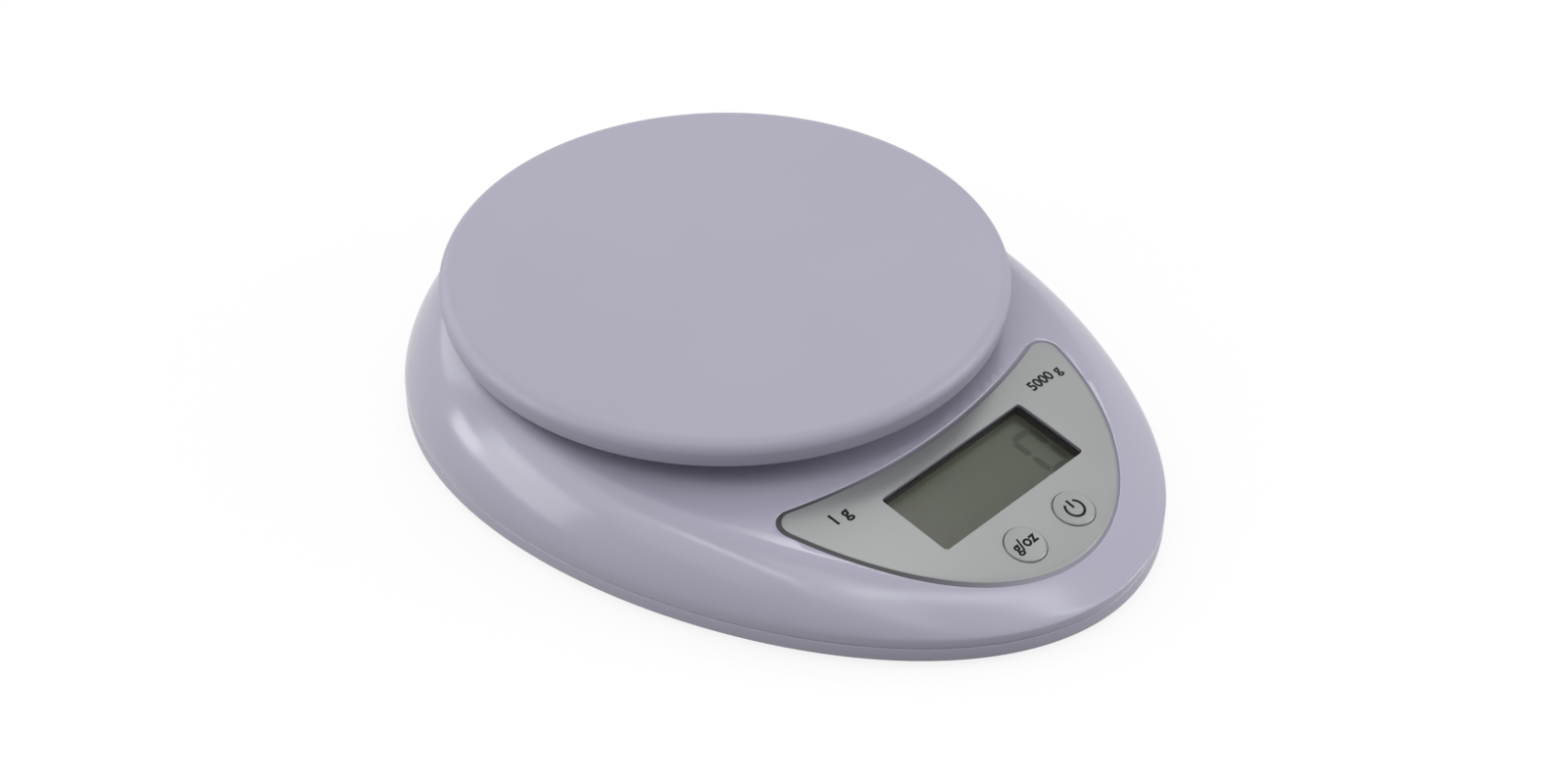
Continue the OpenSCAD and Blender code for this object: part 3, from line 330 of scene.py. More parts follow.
def together(solids):
    """Several separate solids as one list of points and faces."""
    points, faces, start = [], [], 0
    for p, f in solids:
        points.append(np.asarray(p))
        faces += [[start + q for q in face] for face in f]
        start += len(p)
    return np.concatenate(points), faces


def dress(obj, body, slot, *nodes):
    """Smooth shading up to an angle, the slot's finish, and what the piece rides on and stands for."""
    mesh = obj.data
    mesh.polygons.foreach_set("use_smooth", np.ones(len(mesh.polygons), bool))
    mesh.set_sharp_from_angle(angle=SMOOTH_ANGLE)
    if not mesh.materials:
        mesh.materials.append(FINISH[slot])
    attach(obj, body)
    if nodes:
        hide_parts(*nodes)
    return obj


# Finishes

def linear(code, alpha=1.0):
    """The linear colour of an sRGB hex value."""
    c = np.array([int(code[i:i + 2], 16) for i in (1, 3, 5)]) / 255
    c = np.where(c <= 0.04045, c / 12.92, ((c + 0.055) / 1.055) ** 2.4)
    return (*[float(v) for v in c], alpha)


def add(tree, kind, values=None, links=None, **options):
    """Adds a node with its own options, the values of its sockets, and links from other nodes' outputs."""
    node = tree.nodes.new("ShaderNode" + kind)
    for key, value in options.items():
        setattr(node, key, value)
    for key, value in (values or {}).items():
        node.inputs[key].default_value = value
    for key, (source, output) in (links or {}).items():
        tree.links.new(source.outputs[output], node.inputs[key])
    return node


def surface(name, light, dark, rough, patch, grain, relief, **shader):
    """A finish with clouds of two close tones, patch millimetres wide, in colour and roughness, and a fine
    relief of that many millimetres with grains of the given width."""
    mat = bpy.data.materials.new(name)
    mat.use_nodes = True
    tree = mat.node_tree
    tree.nodes.clear()
    at = add(tree, "TexCoord")
    clouds = add(tree, "TexNoise", {"Scale": 1 / (patch * MM), "Detail": 3.0, "Roughness": 0.55},
                 {"Vector": (at, "Object")})
    tone = add(tree, "ValToRGB", links={"Fac": (clouds, "Fac")})
    tone.color_ramp.interpolation = "EASE"
    tone.color_ramp.elements[0].position, tone.color_ramp.elements[0].color = 0.2, linear(dark)
    tone.color_ramp.elements[1].position, tone.color_ramp.elements[1].color = 0.8, linear(light)
    gloss = add(tree, "MapRange", {"From Min": 0.2, "From Max": 0.8, "To Min": rough[0], "To Max": rough[1]},
                {"Value": (clouds, "Fac")}, interpolation_type="SMOOTHSTEP")
    fine = add(tree, "TexNoise", {"Scale": 1 / (grain * MM), "Detail": 2.0}, {"Vector": (at, "Object")})
    bump = add(tree, "Bump", {"Strength": 1.0, "Distance": relief * MM}, {"Height": (fine, "Fac")})
    bsdf = add(tree, "BsdfPrincipled", shader, {
        "Base Color": (tone, "Color"), "Roughness": (gloss, "Result"), "Normal": (bump, "Normal")})
    add(tree, "OutputMaterial", links={"Surface": (bsdf, "BSDF")})
    return mat


def fading(mat, far, start, end):
    """Lets a finish's colour pass into another one between two places along X, given in millimetres."""
    tree = mat.node_tree
    node = {n.type: n for n in tree.nodes}
    x = add(tree, "SeparateXYZ", links={"Vector": (node["TEX_COORD"], "Object")})
    share = add(tree, "MapRange", {"From Min": start * MM, "From Max": end * MM}, {"Value": (x, "X")},
                interpolation_type="SMOOTHSTEP")
    # Sockets 6 and 7 of a mix node are its two colours, and output 2 is their mixture
    both = add(tree, "Mix", {7: linear(far)}, {0: (share, "Result"), 6: (node["VALTORGB"], "Color")},
               data_type="RGBA")
    tree.links.new(both.outputs[2], node["BSDF_PRINCIPLED"].inputs["Base Color"])
    return mat


FINISH = {
    # ABS from a polished mould: an even lilac grey with soft broad highlights and the faintest ripple
    "housing_plastic": surface("gloss moulded ABS, lilac", "#a8a6b7", "#a4a2b3", (0.15, 0.19), 70, 3.0, 0.002,
                               **{"IOR": 1.5}),
    "cover_plastic": surface("gloss moulded ABS, lilac, cover", "#a6a4b5", "#a2a0b1", (0.27, 0.31), 70, 3.0,
                             0.002, **{"IOR": 1.5}),
    # ABS from a finely textured mould: wide dull highlights, and a grain that only shows close by
    "platform_plastic": surface("satin moulded ABS, lilac", "#a29fb0", "#9e9bac", (0.42, 0.50), 60, 0.6,
                                0.006, **{"IOR": 1.5}),
    "carrier_plastic": surface("plain moulded ABS", "#bbb9c4", "#b5b3be", (0.45, 0.55), 40, 0.8, 0.008,
                               **{"IOR": 1.5}),
    # Vulcanised rubber: dark, dull, slightly dusty
    "foot_rubber": surface("moulded rubber", "#4e4e52", "#434347", (0.75, 0.9), 6, 0.5, 0.03),
    # Zinc-plated steel: pale metal with a little yellow and dull patches
    "screw_steel": surface("zinc plated steel", "#bdbec1", "#a9a9a6", (0.28, 0.42), 1.2, 0.4, 0.006,
                           **{"Metallic": 1.0}),
    # Screen-printed polyester film with fine metal pigment, satin varnish over it
    "label_film": surface("silver satin film", "#929494", "#8c8e8e", (0.36, 0.41), 25, 0.35, 0.004,
                          **{"Metallic": 0.36, "IOR": 1.5}),
    # Cut edge of the film and the bead in its groove, coloured with painted groove shade: near black round
    # the left tip, passing further right to a shaded tone of the housing
    "label_edge": fading(surface("edge of the label, painted groove shade", "#3a3b3d", "#333436", (0.5, 0.6), 5, 0.4, 0.004),
                         "#83818f", SHADE_DARK_X, SHADE_PALE_X),
    "key_plastic": surface("satin silver keys", "#929494", "#8c8e8e", (0.37, 0.42), 12, 0.4, 0.004,
                           **{"Metallic": 0.36, "IOR": 1.5}),
    # Cast acrylic: clear, with a thin reflection on its face
    "window_plastic": surface("clear acrylic", "#20221f", "#1e201d", (0.06, 0.09), 40, 6.0, 0.002,
                              **{"Alpha": 0.1, "IOR": 1.49}),
    "black_plastic": surface("black moulded ABS", "#2b2d2a", "#252724", (0.5, 0.6), 8, 0.5, 0.003),
    "white_plastic": surface("white moulded ABS", "#e6e6e2", "#dededa", (0.4, 0.5), 10, 0.6, 0.008),
    # Liquid crystal glass over its grey-green reflector: a polariser's dull sheen
    "display_glass": surface("liquid crystal glass", "#575c4b", "#535847", (0.28, 0.34), 20, 0.4, 0.002),
    "connector_rubber": surface("striped rubber connector", "#dd9389", "#d1877e", (0.6, 0.7), 3, 0.4, 0.01),
    "board_laminate": surface("green lacquered laminate", "#32704a", "#2b6441", (0.3, 0.42), 5, 0.5, 0.02),
    "chip_resin": surface("poured black epoxy", "#1a1b1d", "#141517", (0.25, 0.4), 4, 1.5, 0.03),
    "crystal_can": surface("drawn nickel silver can", "#cbccce", "#bfc0c2", (0.15, 0.25), 2, 0.6, 0.004,
                           **{"Metallic": 1.0}),
    "capacitor_sleeve": surface("shrunk vinyl sleeve", "#3f4e8b", "#36457f", (0.3, 0.4), 4, 0.8, 0.01),
    # Milled and tumbled aluminium: bright and a little streaky
    "cell_aluminium": surface("milled aluminium", "#cbcdd0", "#bfc1c4", (0.3, 0.42), 4, 0.35, 0.008,
                              **{"Metallic": 1.0}),
    "gauge_rubber": surface("white silicone, brushed on", "#f1f0ea", "#e6e5de", (0.4, 0.6), 3, 2.0, 0.08),
    "battery_jacket": surface("plain printed jacket", "#948f52", "#8b8649", (0.25, 0.35), 6, 1.0, 0.006),
    "contact_steel": surface("nickel plated spring steel", "#d1d1cc", "#c5c5c0", (0.2, 0.3), 2, 0.4, 0.004,
                             **{"Metallic": 1.0}),
    "cable_sheath": surface("soft grey vinyl", "#d6d6d2", "#cdcdc9", (0.45, 0.55), 4, 0.6, 0.01),
    "black_insulation": surface("soft black vinyl", "#262626", "#202020", (0.4, 0.5), 4, 0.6, 0.01),
    "red_insulation": surface("soft red vinyl", "#ac352f", "#a32f29", (0.4, 0.5), 4, 0.6, 0.01),
    # Screen-printing ink: flat and nearly black
    "print_ink": surface("black printing ink", "#0d0e0f", "#0a0b0b", (0.5, 0.6), 3, 0.3, 0.003,
                         **{"Specular IOR Level": 0.15}),
    # Liquid crystal segments seen from the side: only a little darker than the ground
    "segment_ink": surface("faint display segments", "#414539", "#3d4136", (0.4, 0.5), 4, 0.4, 0.002),
}

for row in frame["record"]["subparts"]:
    mesh = frame["nodes"][row["node"]].data
    mesh.materials.clear()
    mesh.materials.append(FINISH[row["material_slot"]])


# The label's outline

def offset_line(line, side):
    """A line moved square to itself by the tip's radius, and the line's normals on that side."""
    along = np.gradient(line, axis=0)
    along /= np.linalg.norm(along, axis=1, keepdims=True)
    out = side * np.stack([along[:, 1], -along[:, 0]], -1)
    return line - LABEL_TIP * out, out


def label_outline(n=720):
    """The front edge is an arc of an ellipse and the back edge a parabola. At each tip a circle of the tip's
    radius joins them: its middle is where the two lines, each moved in by that radius, cross."""
    t = np.linspace(0, TIP_TURN, 4001)
    front = np.stack([LABEL_HALF * np.sin(t), LABEL_FRONT + LABEL_BOW * (1 - np.cos(t))], -1)
    x = np.linspace(0, front[-1, 0], 4001)
    back = np.stack([x, LABEL_BACK + LABEL_BACK_BOW * (x / x[-1]) ** 2], -1)
    low, low_out = offset_line(front, 1)
    high, high_out = offset_line(back, -1)
    i = np.argmax(low[:, 1] > np.interp(low[:, 0], high[:, 0], high[:, 1]))
    j = np.argmax(high[:, 0] > low[i, 0])
    start, end = (math.atan2(out[1], out[0]) for out in (low_out[i], high_out[j]))
    turn = np.linspace(start, end, 90)
    tip = low[i] + LABEL_TIP * np.stack([np.cos(turn), np.sin(turn)], -1)
    right = np.concatenate([front[:i], tip, back[:j][::-1]])
    whole = np.concatenate([right, (right * [-1, 1])[::-1]])
    step = np.linalg.norm(np.diff(whole, axis=0, append=whole[:1]), axis=1)
    run = np.concatenate([[0], np.cumsum(step)])
    at = np.linspace(0, run[-1], n, endpoint=False)
    whole = np.concatenate([whole, whole[:1]])
    return np.stack([np.interp(at, run, whole[:, 0]) - LABEL_LEFT, np.interp(at, run, whole[:, 1])], -1)


LABEL = label_outline()
# The label's faces are filled by its outline drawn in to this point, by these shares
CORE = np.array([0.0, -70.0])
SHRINK = (0.985, 0.95, 0.9, 0.82, 0.72, 0.6, 0.48, 0.36, 0.24, 0.12, 0.03)


def plate(steps, shift=0.0):
    """A plate in the label's outline that follows the housing: each step grows the outline and sits at a
    height over the surface, and both faces are filled by copies of the outline drawn in to its middle."""
    rings = [(s, *steps[0]) for s in SHRINK[::-1]] + [(1, *step) for step in steps]
    rings += [(s, *steps[-1]) for s in SHRINK]
    done = []
    for s, d, h in rings:
        p = CORE + s * (grown(LABEL, d) - CORE) + [shift, 0]
        done.append(np.column_stack([p, skin_z(p[:, 0], p[:, 1]) + h]))
    return loft(done)


# The housing

def housing_shell():
    """Rings from the middle of the top out over the shoulder, down to the seam, and back under the skin."""
    def crown_ring(u, skin):
        p = inset(SIDE_A, skin + u * shoulder(SIDE_A))
        return np.column_stack([p, SIDE_Z + (top_z(p[:, 1]) - skin - SIDE_Z) * crown(u)])

    def top_ring(s, skin):
        p = crown_ring(1.0, skin)[:, :2]
        mid = np.array([0, PLATFORM_Y / 2])
        p = mid + s * (p - mid)
        return np.column_stack([p, top_z(p[:, 1]) - skin])

    spread = np.linspace(0, 1, 34)[1:-1]
    us = 1 - (1 - np.linspace(0, 1, 26) ** 1.6)
    lip = SEAM_Z + TONGUE_H + FIT
    outer = [top_ring(s, 0) for s in (0.01, *spread)] + [crown_ring(u, 0) for u in us[::-1]]
    side = [level(0, SIDE_Z - 1)] + [level(d, SEAM_Z + h) for d, h in SEAM_EDGE]
    under = [level(WALL / 2, SEAM_Z), level(WALL / 2, lip), level(WALL, lip)]
    inner = [crown_ring(u, WALL) for u in (0, 0.03, 0.1, 0.2, 0.3, 0.45, 0.6, 0.8, 1)]
    inner += [top_ring(s, WALL) for s in (0.9, 0.8, 0.7, 0.6, 0.45, 0.3, 0.15, 0.01)]
    return loft(outer + side + under + inner)


def skin_column(outline, z0):
    """A column of this outline from z0 up into the housing's wall, ending half way through it."""
    low = np.column_stack([outline, np.full(len(outline), float(z0))])
    high = low.copy()
    high[:, 2] = skin_z(low[:, 0], low[:, 1]) - WALL / 2
    return loft([low, high])


SHROUD_HOLE = (WINDOW_W + 2 * SHROUD_T + 2 * FIT, WINDOW_H + 2 * SHROUD_T + 2 * FIT)
SAG = DIP_DROP * ((WINDOW_H / 2 + SHROUD_T + PANE_SEAT + 0.5) / DIP_IN) ** 2
PANE_Z = -LABEL_SINK - LABEL_T - SAG - PANE_T
PANE_W, PANE_L = WINDOW_W + 2 * (SHROUD_T + PANE_SEAT), WINDOW_H + 2 * (SHROUD_T + PANE_SEAT)
POSTS = [(x * (BOARD_W / 2 - POST_IN), v)
         for x in (-1, 1) for v in (KEY_V - BOARD_FRONT + POST_IN, BOARD_BACK - POST_IN)]


def post_top(x, v):
    """Height of a board post's end over the panel's plane: half a wall under the lowest skin above it."""
    edge = disc(POST_D / 2, 40, x, v)
    p = on_panel(np.column_stack([edge, panel_w(edge[:, 1])]))
    skin = panel_w(edge[:, 1]) - (p[:, 2] - skin_z(p[:, 0], p[:, 1])) / COS
    return float(np.min(skin)) - WALL / 2


def key_columns(r, low):
    """Two columns on the keys' axes, from a depth under the skin to well over it."""
    return [column(r, KEY_W - low, KEY_W + REACH, x, KEY_V, 96, on_panel) for x in (-KEY_X, KEY_X)]


def build_housing():
    """The shell with its pillars, posts and ribs, the label's recess, and the openings."""
    middles = [inset(math.radians(g), PILLAR_IN) for g in SCREW_ANGLES]
    pillars = [skin_column(disc(PILLAR_D / 2, 40, *middle), BOSS_TOP) for middle in middles]
    posts = [column(POST_D / 2, -BOARD_DEPTH, post_top(x, v), x, v, 40, on_panel) for x, v in POSTS]
    side_x = FOOT_X + FOOT_L / 2 + FOOT_GAP + 2 * RIB_T + 1
    side_y = FOOT_W + FOOT_GAP + 2 * RIB_T + 1
    ribs = []
    for x in (-side_x, side_x):
        ribs.append(skin_column(round_rect(RIB_T, CARRIER_D, 0.1, 3) + [x, PLATFORM_Y],
                                TOP_MID - WALL - HOUSING_RIB_H))
    for y in (PLATFORM_Y - side_y, PLATFORM_Y + side_y):
        ribs.append(skin_column(round_rect(CARRIER_D, RIB_T, 0.1, 3) + [0, y],
                                top_z(y) - WALL - HOUSING_RIB_H))
    rim = stack(round_rect(*SHROUD_HOLE, WINDOW_R), [
        (PANE_SEAT + RIB_T, -WALL - 1), (PANE_SEAT + RIB_T, -WALL / 2), (-1, -WALL / 2), (-1, -WALL - 1)],
        on_panel, True)
    neck = round_rect(FOOT_L + 2 * FOOT_GAP, FOOT_W + 2 * FOOT_GAP, 3, 12) + [FOOT_X, PLATFORM_Y]
    low = top_z(PLATFORM_Y) - WALL
    high = top_z(PLATFORM_Y) + COLLAR_H
    collar = stack(neck, [(RIB_T, low), (RIB_T, high - EDGE), (RIB_T - EDGE, high), (0.3, high), (0.3, low)],
                   loop=True)
    # The label's recess, its rim a quarter of a millimetre round
    recess = plate([(LABEL_GAP - 0.1, -LABEL_SINK - LABEL_T), (LABEL_GAP, -LABEL_SINK - LABEL_T + 0.12),
                    (LABEL_GAP, -0.28), (LABEL_GAP + 0.03, -0.16), (LABEL_GAP + 0.1, -0.07),
                    (LABEL_GAP + 0.26, 0.0), (LABEL_GAP + 0.7, 0.1), (LABEL_GAP + 1.2, 2.5)])
    opening = stack(round_rect(*SHROUD_HOLE, WINDOW_R), [(0, -3 * WALL), (0, REACH)], on_panel)
    seat = stack(round_rect(PANE_W + 2 * FIT, PANE_L + 2 * FIT, WINDOW_R),
                 [(0, PANE_Z), (0, REACH)], on_panel)
    keys = key_columns(KEY_D / 2 + KEY_GAP, 3 * WALL)
    way = stack(neck, [(0, TOP_MID - 2 * REACH), (0, TOP_MID + 2 * REACH)])
    screws = [column(SCREW_D / 2 + SHAFT_FIT, BOSS_TOP - 1, BOSS_TOP + SCREW_L, *middle, 32)
              for middle in middles]
    holes = [column(POST_HOLE_R + SHAFT_FIT, -BOARD_DEPTH - 1, -BOARD_DEPTH + POST_HOLE_H, x, v, 32, on_panel)
             for x, v in POSTS]
    joined = [("UNION", s) for s in (*pillars, *posts, *ribs, rim, collar)]
    cuts = [("DIFFERENCE", s) for s in (recess, opening, seat, *keys, way, *screws, *holes)]
    shell = worked("housing_shell", housing_shell(), joined + cuts)
    return dress(shell, "base", "housing_plastic", "top_housing")


# The bottom cover

def cover_shell():
    """Rings from the middle of the floor out round the lower edge, up to the seam and tongue, and back in."""
    floor = [level(COVER_ROUND, FLOOR_Z) * [s, s, 1] for s in (0.01, 0.3, 0.6, 0.9)]
    q = np.radians(np.linspace(0, 90, 7))
    bend = [level(COVER_ROUND * (1 - math.sin(t)), FLOOR_Z + COVER_ROUND * (1 - math.cos(t))) for t in q]
    seam = [level(d, SEAM_Z - h) for d, h in SEAM_EDGE]
    side, top, round_top = WALL / 2 + FIT, SEAM_Z + TONGUE_H, 0.2
    tongue = [level(side, SEAM_Z), level(side, top - round_top), level(side + round_top, top),
              level(WALL, top), level(WALL, INSIDE_Z)]
    inside = [level(WALL, INSIDE_Z) * [s, s, 1] for s in (0.9, 0.6, 0.3, 0.01)]
    return loft(floor + bend + seam + tongue + inside)


def build_cover():
    """The lower shell with its bosses, pads, ribs and battery compartment, and the openings under it."""
    union, cut = [], []
    low = INSIDE_Z - SINK
    for g in SCREW_ANGLES:
        x, y = inset(math.radians(g), PILLAR_IN)
        union.append(column(PILLAR_D / 2 + 0.5, low, BOSS_TOP, x, y, 40))
        cut.append(stack(disc(SCREW_HEAD_D / 2 + 0.3, 48, x, y), [
            (0.5, FLOOR_Z - 0.2), (0.25, FLOOR_Z), (0, FLOOR_Z + 0.25), (0, FLOOR_Z + SCREW_HEAD_H + 0.5)]))
        cut.append(column(SCREW_D / 2 + FIT, 0, BOSS_TOP + 1, x, y, 32))
    for g in FOOT_ANGLES:
        x, y = inset(math.radians(g), FOOT_IN)
        cut.append(column(FOOT_PAD_D / 2 + SHAFT_FIT, FLOOR_Z - 1, FLOOR_Z + FOOT_SEAT, x, y, 64))
    union.append(slab(CELL_PAD_L, CELL_W + CELL_PAD_MARGIN, low, INSIDE_Z + CELL_PAD_H,
                      sum(FIXED_SCREWS) / 2, PLATFORM_Y, BLOCK_R))
    union.append(slab(CELL_STOP_L, CELL_W, low, INSIDE_Z + CELL_PAD_H - CELL_STOP_GAP,
                      FREE_SCREWS[1], PLATFORM_Y, BLOCK_R))
    clear = BATTERY_Y - TUB_L / 2 - TUB_T - DOOR_LEDGE - TAB_REACH - COVER_RIB_CLEAR
    rear = clear - (PLATFORM_Y + CELL_W / 2 + COVER_RIB_CLEAR)
    for x in COVER_RIBS_X:
        union.append(slab(RIB_T, BASE_L / 3, low, INSIDE_Z + COVER_RIB_H, x, -BASE_L / 8))
        union.append(slab(RIB_T, rear, low, INSIDE_Z + COVER_RIB_H, x, clear - rear / 2))
    for d in COVER_RIBS_FRONT:
        union.append(slab(COVER_RIB_W, RIB_T, low, INSIDE_Z + COVER_RIB_H, 0, PLATFORM_Y - CELL_W / 2 - d))
    union.append(slab(TUB_W + 2 * TUB_T, TUB_L + 2 * TUB_T, low, TUB_TOP + TUB_T, 0, BATTERY_Y, BLOCK_R))
    union.append(slab(DOOR_W + 2 * DOOR_GAP + 2 * RIB_T, DOOR_L + 2 * DOOR_GAP + 2 * RIB_T, low,
                      INSIDE_Z + DOOR_SEAT, 0, BATTERY_Y, BLOCK_R))
    for x in FIXED_SCREWS:
        cut.append(column(CELL_HEAD_R, 0, FLOOR_Z + CELL_HEAD_H, x, PLATFORM_Y, 48))
        cut.append(column(CELL_SHAFT_R, 0, INSIDE_Z + CELL_PAD_H + 1, x, PLATFORM_Y, 32))
    cut.append(slab(TUB_W, TUB_L, 0, TUB_TOP, 0, BATTERY_Y, 0.3))
    cut.append(stack(round_rect(DOOR_W + 2 * DOOR_GAP, DOOR_L + 2 * DOOR_GAP, BLOCK_R) + [0, BATTERY_Y], [
        (0.45, FLOOR_Z - 0.3), (0.15, FLOOR_Z), (0, FLOOR_Z + 0.15), (0, FLOOR_Z + DOOR_T + FIT)]))
    room = TAB_REACH + 1
    reach = room + DOOR_LEDGE + 1
    for x in (-TAB_X, TAB_X):
        y = BATTERY_Y - DOOR_L / 2
        cut.append(slab(TAB_W + 1, reach, INSIDE_Z, INSIDE_Z + TAB_T + 3, x, y + reach / 2 - room))
        back = DOOR_LEDGE + 1 + DOOR_GAP
        cut.append(slab(TAB_W + 1, back, FLOOR_Z, FLOOR_Z + TAB_T + 3, x, y + back / 2 - DOOR_GAP))
    for y in (-BATTERY_STEP / 2, BATTERY_STEP / 2):
        cut.append(slab(2 * TUB_T + 1, TAB_SLOT_L, BATTERY_Z - TAB_SLOT_T / 2, BATTERY_Z + TAB_SLOT_T / 2,
                        TUB_W / 2, BATTERY_Y + y))
    steps = [("UNION", s) for s in union] + [("DIFFERENCE", s) for s in cut]
    return dress(worked("cover_shell", cover_shell(), steps), "base", "cover_plastic", "bottom_cover")


# The platform

def build_platform():
    """The lid carried round its axis, with the clip ring, the clips on it, and the ribs behind the rim."""
    r = PLATFORM_D / 2
    ring_in = CARRIER_D / 2 + FIT
    ring_z = CARRIER_Z - CLIP_H - FIT
    rim_in, rim_out = r - RIM_T - RIM_DRAFT, r - RIM_DRAFT
    under = [(0.5, UNDER_SKIN), (r - RIM_T - 1, UNDER_SKIN), (r - RIM_T, UNDER_SKIN - 1),
             (rim_in, RIM_Z + EDGE), (rim_in + EDGE_MID, RIM_Z + EDGE_MID), (rim_in + EDGE, RIM_Z)]
    foot = [(rim_out - EDGE, RIM_Z), (rim_out - EDGE_MID, RIM_Z + EDGE_MID), (rim_out, RIM_Z + EDGE)]
    roll = arc(r - RIM_ROUND, PLATFORM_TOP - RIM_ROUND, RIM_ROUND, 0, 90, 15)
    top = [(s * (r - RIM_ROUND), PLATFORM_TOP) for s in (0.995, 0.9, 0.7, 0.4, 0.01)]
    lid = loft(revolve(under + foot + roll + top, SIDES, PLATFORM_Y))
    ring_out = ring_in + CLIP_RING
    ring = loft(revolve([(ring_out, UNDER_SKIN + SINK), (ring_out, ring_z + 0.2), (ring_out - 0.2, ring_z),
                         (ring_in, ring_z), (ring_in, UNDER_SKIN + SINK)], 192, PLATFORM_Y), loop=True)
    steps = [("UNION", ring)]
    clip = ((ring_in - CLIP_REACH, ring_z + EDGE), (ring_in + SINK, ring_z),
            (ring_in + SINK, ring_z + CLIP_H), (ring_in - CLIP_REACH, ring_z + CLIP_H))
    for i in range(CLIPS):
        q = np.radians(i * 360 / CLIPS + CLIP_START + np.linspace(0, CLIP_SWEEP, 13))
        rings = [np.array([[s * math.cos(t), PLATFORM_Y + s * math.sin(t), z] for s, z in clip]) for t in q]
        steps.append(("UNION", loft(rings)))
    low = RIM_Z + RIM_H / 3
    inner = ring_in + CLIP_RING / 2
    long = r - RIM_T / 2 - RIM_DRAFT - inner
    for i in range(RIM_RIBS):
        q = i * TAU / RIM_RIBS
        turn = np.array([[math.cos(q), math.sin(q)], [-math.sin(q), math.cos(q)]])
        outline = (round_rect(long, RIB_T, 0.1, 3) + [inner + long / 2, 0]) @ turn + [0, PLATFORM_Y]
        steps.append(("UNION", stack(outline, [(0, low), (0, UNDER_SKIN + SINK)])))
    return dress(worked("platform_lid", lid, steps), "platform", "platform_plastic", "weighing_platform")


# The label, window, display and keys

def build_label():
    """The film's plate with a rounded upper edge and its openings cut square to the panel. Faces that look
    to the side get the edge finish, which carries the groove's painted shade."""
    body = plate([(-0.15, -LABEL_SINK - LABEL_T), (0, -LABEL_SINK - LABEL_T + 0.15), (0, -LABEL_SINK - 0.22),
                  (-0.04, -LABEL_SINK - 0.1), (-0.12, -LABEL_SINK - 0.03), (-0.24, -LABEL_SINK)], LABEL_SHIFT)
    top = -LABEL_SINK
    window = stack(round_rect(WINDOW_W, WINDOW_H, WINDOW_R), [
        (0, -REACH), (0, top - SAG - 0.1), (0.06, top - SAG / 2), (0.3, top + 0.2), (1.5, 4)], on_panel)
    keys = key_columns(KEY_D / 2 + KEY_GAP, REACH)
    obj = worked("panel_label_film", body, [("DIFFERENCE", tool) for tool in (window, *keys)])
    mesh = obj.data
    normals = np.empty(3 * len(mesh.polygons))
    mesh.polygons.foreach_get("normal", normals)
    # Side faces take the second finish: the film's edge, with the groove's shade painted into its colour
    facing = normals.reshape(-1, 3) @ [0, -SIN, COS]
    mesh.materials.clear()
    mesh.materials.append(FINISH["label_film"])
    mesh.materials.append(FINISH["label_edge"])
    mesh.polygons.foreach_set("material_index", np.where(facing < 0.35, 1, 0).astype(np.int32))
    return dress(obj, "base", "label_film", "panel_label")


def build_bead_painted_shade():
    """A filler in the groove round the film, to a little below the surface, that carries the groove's painted
    shade.
    """
    low, high = -LABEL_SINK - LABEL_T, -BEAD_SINK
    rings = []
    for d, h, shift in ((LABEL_GAP, low, 0), (LABEL_GAP, high + 0.1, 0), (LABEL_GAP - 0.12, high, 0),
                        (0.12, high, LABEL_SHIFT), (0.0, high + 0.05, LABEL_SHIFT), (0.0, low, LABEL_SHIFT)):
        p = grown(LABEL, d) + [shift, 0]
        rings.append(np.column_stack([p, skin_z(p[:, 0], p[:, 1]) + h]))
    return dress(worked("label_bead_painted_shade", loft(rings, True)), "base", "label_edge")


def build_window():
    """The clear window: a flange under the label and a raised middle, with a small bevel at its face."""
    face = -LABEL_SINK - SAG / 2
    edge = -SHAFT_FIT
    flange = SHROUD_T + PANE_SEAT
    pane = stack(round_rect(WINDOW_W, WINDOW_H, WINDOW_R), [
        (flange, PANE_Z), (flange, PANE_Z + PANE_T), (edge, PANE_Z + PANE_T), (edge, face - 0.15),
        (edge - 0.15, face)], on_panel)
    return dress(worked("clear_window", pane), "base", "window_plastic", "display_window")


def build_shroud():
    """The black shroud: the window's outline carried round as a wall between the pane and the glass."""
    wall = stack(round_rect(WINDOW_W, WINDOW_H, WINDOW_R), [
        (SHROUD_T, -GLASS_DEPTH), (SHROUD_T, PANE_Z), (0, PANE_Z), (0, -GLASS_DEPTH)], on_panel, True)
    return dress(worked("shroud_walls", wall), "base", "black_plastic", "display_shroud")


def build_key(name, x, body, node):
    """A key: stem, flange and head on one axis, and a face that follows the panel with a rounded rim."""
    fall = (KEY_D / 2 + FLANGE_REACH) * float(top_slope(KEY_Y) - top_slope(DISPLAY_Y))
    flange_z = KEY_W - WALL - FLANGE_T - FIT - fall
    r, stem_r = KEY_D / 2 + 0.1, PLUNGER_D / 2 + 0.3
    low = [(0.02, PLUNGER_TOP), (stem_r, PLUNGER_TOP), (stem_r, flange_z), (r + FLANGE_REACH, flange_z),
           (r + FLANGE_REACH, flange_z + FLANGE_T), (r, flange_z + FLANGE_T)]
    rings = [on_panel(np.column_stack([disc(s, 96, x, KEY_V), np.full(96, w)])) for s, w in low]
    turn = np.radians(np.linspace(0, 90, 8))
    face = [(r - KEY_ROUND * (1 - math.cos(t)), KEY_RISE - KEY_ROUND * (1 - math.sin(t))) for t in turn]
    face += [(s, KEY_RISE - KEY_DISH * (1 - (s / r) ** 2)) for s in (4.6, 4.0, 3.2, 2.4, 1.6, 0.8, 0.02)]
    for s, rise in face:
        p = disc(s, 96, x, KEY_V)
        rings.append(on_panel(np.column_stack([p, panel_w(p[:, 1]) + rise])))
    return dress(worked(name, loft(rings)), body, "key_plastic", node)


# Prints and segments

